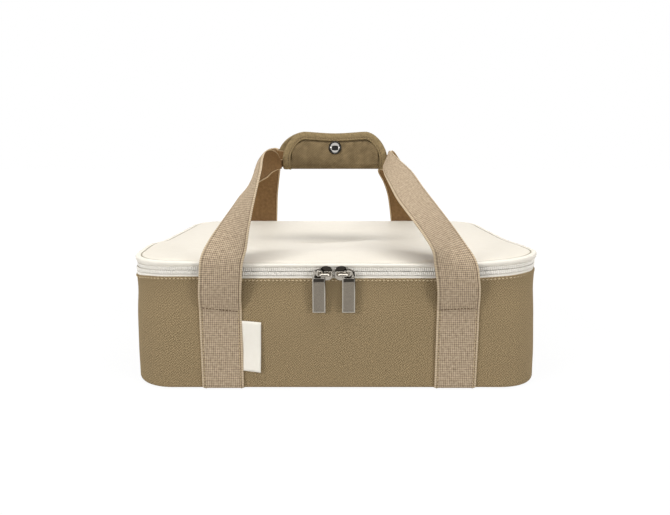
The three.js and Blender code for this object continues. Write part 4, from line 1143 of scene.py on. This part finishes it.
for label, side in (("left", -1), ("right", 1)):
    centre = slider["meet"] + side * (slider["space"] + slider["length"]) / 2
    body, pullBody = f"slider_{label}", f"pull_{label}"
    z = slider["middle"]
    inner, outer = centre - side * slider["length"] / 2, centre + side * slider["length"] / 2
    noseX, noseWide = centre - side * slider["noseIn"], slider["noseWide"]
    plate = [(outer, z - slider["low"]), (outer, z + slider["high"]), (inner, z + slider["high"]),
             (inner, z - slider["noseLow"])]
    plate += arcPoints(noseX, z - slider["noseLow"], side * noseWide, slider["noseTall"], 200, 340, 10)
    dome = arcPoints(noseX, z + slider["domeRise"], noseWide, slider["domeTall"], 0, 180, 14)
    lip = [(inner, slider["lipLow"]), (outer, slider["lipLow"]), (outer, slider["lipHigh"]),
           (inner, slider["lipHigh"])]
    face = slider["faceY"]
    plateFront = face - slider["plate"]
    sliderBody = prismMesh(f"slider_body_{label}", [
        (plate, plateFront, face), (lip, face + slider["lipGap"], face + slider["lipDeep"]),
        (dome, plateFront + slider["domeBack"], face)], gunmetal, slider["bevel"], 4)
    # The dome is painted dark, as a dark reflection
    sliderBody.data.materials.append(shadeReflectionZinc)
    for domeFace in sliderBody.data.polygons[-len(dome) - 2:]:
        domeFace.material_index = 1
    dress(sliderBody, body, "dark_nickel", f"slider_body_{label}")

    legOuter, legInner = centre + side * bridge["outer"], centre - side * bridge["inner"]
    mid, half = (legOuter + legInner) / 2, abs(legOuter - legInner) / 2
    bow = []
    for n in range(bridge["steps"] + 1):
        a = math.pi * n / bridge["steps"]
        sway = math.copysign(abs(math.cos(a)) ** bridge["square"], math.cos(a))
        y = plateFront + bridge["sunk"] - bridge["reach"] * math.sin(a) ** bridge["bow"]
        bow.append(Vector((mid + side * half * sway, y, z + bridge["rise"])))
    sliderCrown = crownMesh(f"slider_crown_{label}", bow, gunmetal)
    dress(sliderCrown, body, "dark_nickel", f"slider_crown_{label}")

    middleX = centre + side * pull["offset"]
    half = pull["width"] / 2
    low, top = pull["bottom"], pull["eyeHeight"]
    shoulder = top - pull["shoulder"]
    tabEdge = [(middleX - half, low), (middleX + half, low), (middleX + half, shoulder)]
    tabEdge += arcPoints(middleX, top, pull["eye"], pull["eye"], -20, 200, 18)
    tabEdge += [(middleX - half, shoulder)]
    hole = arcPoints(middleX, top + pull["holeRise"], pull["hole"], pull["hole"], 0, 345, 23)
    left, right = middleX - half + pull["frame"], middleX + half - pull["frame"]
    slotLow, slotHigh = top - pull["slotFoot"], top - pull["slotTop"]
    slot = [(left, slotLow), (right, slotLow), (right, slotHigh), (left, slotHigh)]
    near, far = pull["y"] - pull["thick"] / 2, pull["y"] + pull["thick"] / 2
    tab = prismMesh(f"pull_tab_{label}", [(tabEdge, near, far)], gunmetal, pull["bevel"])
    past, cutBevel = pull["cutPast"], pull["cutBevel"]
    cutters = [
        prismMesh("eye_cut", [(hole, near - past, far + past)], gunmetal, cutBevel, 1),
        fieldCutter(left, right, low + pull["frame"], slotLow, near),
        # The slot's floor takes the dark zinc: painted shade in the recess
        prismMesh("slot_cut", [(slot, near - past, far - pull["slotFloor"])], shadeReflectionZinc, cutBevel, 1)]
    for cutter in cutters:
        cut = tab.modifiers.new(cutter.name, "BOOLEAN")
        cut.object = cutter
        cut.operation = "DIFFERENCE"
        cut.solver = "EXACT"
        cut.material_mode = "TRANSFER"
    tab.modifiers.move(0, len(tab.modifiers) - 1)
    bpy.context.view_layer.update()
    made = bpy.data.meshes.new_from_object(tab.evaluated_get(bpy.context.evaluated_depsgraph_get()))
    tab.modifiers.clear()
    tab.data = made
    for cutter in cutters:
        bpy.data.objects.remove(cutter)
    dress(tab, pullBody, "dark_nickel", f"pull_tab_{label}")
print("sliders and pulls made")

# The pieces that stay as they are in the frame get their finish
for name, material in (("base_stiffener_board", baseBoard), ("snap_socket", brightNickel),
                       ("snap_stud", brightNickel), ("snap_post", brightNickel)):
    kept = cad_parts[name]
    kept.data.materials.clear()
    kept.data.materials.append(material)

# Stage: white floor and surround, soft light from above and all sides, camera at the photograph's place
stage = {"floor": 6.0, "fill": 0.22, "near": 0.35, "far": 0.65, "nearGlow": 0.88, "glow": 1.06, "paper": 0.6}


# Empty node tree of a material or of the world
def emptyTree(holder):
    holder.use_nodes = True
    holder.node_tree.nodes.clear()
    return holder.node_tree


# Share that tells rays seen by the camera, straight or in a shiny surface, from rays that light the part
def seenRays(tree):
    ray = addNode(tree, "ShaderNodeLightPath", {})
    seen = addNode(tree, "ShaderNodeMath", {
        0: ray.outputs["Is Camera Ray"], 1: ray.outputs["Is Glossy Ray"]}, operation="MAXIMUM")
    return addNode(tree, "ShaderNodeMath", {
        0: seen.outputs[0], 1: ray.outputs["Is Transmission Ray"]}, operation="MAXIMUM").outputs[0]


def stageSheet(name, corners, paint):
    mesh = bpy.data.meshes.new(name)
    mesh.from_pydata(corners, [], [(0, 1, 2, 3)])
    mesh.materials.append(paint)
    sheet = bpy.data.objects.new(name, mesh)
    scene.collection.objects.link(sheet)
    return sheet


# Paper that takes the part's shadow close by and glows to a clean white farther out
floorPaint = bpy.data.materials.new("white paper floor")
floorTree = emptyTree(floorPaint)
floorSeen = seenRays(floorTree)
spot = addNode(floorTree, "ShaderNodeTexCoord", {})
away = addNode(floorTree, "ShaderNodeVectorMath", {0: spot.outputs["Object"]}, operation="LENGTH")
fade = addNode(floorTree, "ShaderNodeMapRange", {
    "Value": away.outputs["Value"], "From Min": stage["near"], "From Max": stage["far"],
    "To Min": stage["nearGlow"], "To Max": 1.0})
share = addNode(floorTree, "ShaderNodeMath", {0: floorSeen, 1: fade.outputs[0]}, operation="MULTIPLY")
paper = addNode(floorTree, "ShaderNodeBsdfDiffuse", {"Color": (stage["paper"],) * 3 + (1,)})
glow = addNode(floorTree, "ShaderNodeEmission", {"Color": (1, 1, 1, 1), "Strength": stage["glow"]})
mixed = addNode(floorTree, "ShaderNodeMixShader", {
    0: share.outputs[0], 1: paper.outputs[0], 2: glow.outputs[0]})
addNode(floorTree, "ShaderNodeOutputMaterial", {"Surface": mixed.outputs[0]})
size = stage["floor"]
floor = stageSheet("floor", [(-size, -size, 0), (size, -size, 0), (size, size, 0), (-size, size, 0)],
                   floorPaint)

world = bpy.data.worlds.new("studio")
scene.world = world
worldTree = emptyTree(world)
worldSeen = seenRays(worldTree)
fillLight = addNode(worldTree, "ShaderNodeBackground", {"Color": (1, 1, 1, 1), "Strength": stage["fill"]})
backWhite = addNode(worldTree, "ShaderNodeBackground", {"Color": (1, 1, 1, 1), "Strength": 1.0})
worldMix = addNode(worldTree, "ShaderNodeMixShader", {
    0: worldSeen, 1: fillLight.outputs[0], 2: backWhite.outputs[0]})
addNode(worldTree, "ShaderNodeOutputWorld", {"Surface": worldMix.outputs[0]})


# Lamps: name, place, what it points at, width, height, power
lamps = [
    ("top strip light", (0, -0.3, 1.32), (0, 0.03, 0.1), 1.3, 0.4, 13.0),
    ("left softbox", (-1.15, -1.0, 0.55), (0, 0, 0.1), 0.45, 0.45, 8.7),
    ("right softbox", (1.15, -1.0, 0.55), (0, 0, 0.1), 0.45, 0.45, 7.7),
    ("rear softbox", (0, 1.6, 0.5), (0, 0, 0.1), 1.2, 0.5, 5.0),
]
for name, place, target, width, height, power in lamps:
    lamp = bpy.data.lights.new(name, "AREA")
    lamp.shape = "RECTANGLE"
    lamp.size = width
    lamp.size_y = height
    lamp.energy = power
    holder = bpy.data.objects.new(name, lamp)
    scene.collection.objects.link(holder)
    holder.location = place
    holder.rotation_euler = (Vector(target) - Vector(place)).to_track_quat("-Z", "Y").to_euler()

# Dark card behind the camera, seen only in reflections
flag = {"half": 0.9, "y": -1.6, "low": -0.2, "high": 1.2, "tint": "#1c1c1c"}
cardPaint = bpy.data.materials.new("black flag cloth")
cardPaint.use_nodes = True
cardPaint.node_tree.nodes["Principled BSDF"].inputs["Base Color"].default_value = toLinear(flag["tint"])
card = stageSheet("dark_card", [
    (-flag["half"], flag["y"], flag["low"]), (flag["half"], flag["y"], flag["low"]),
    (flag["half"], flag["y"], flag["high"]), (-flag["half"], flag["y"], flag["high"])], cardPaint)
card.visible_camera = False
card.visible_diffuse = False
card.visible_shadow = False

view = {"place": (0, -0.588, 0.224), "tilt": 11.8, "film": 36, "focus": 500 / 670 * 36, "nearest": 0.02}
camera = bpy.data.objects.new("camera", bpy.data.cameras.new("camera"))
scene.collection.objects.link(camera)
camera.location = view["place"]
camera.rotation_euler = (math.radians(90 - view["tilt"]), 0, 0)
camera.data.sensor_width = view["film"]
camera.data.lens = view["focus"]
camera.data.clip_start = view["nearest"]
scene.camera = camera
scene.view_settings.view_transform = "Standard"

print("stage made")
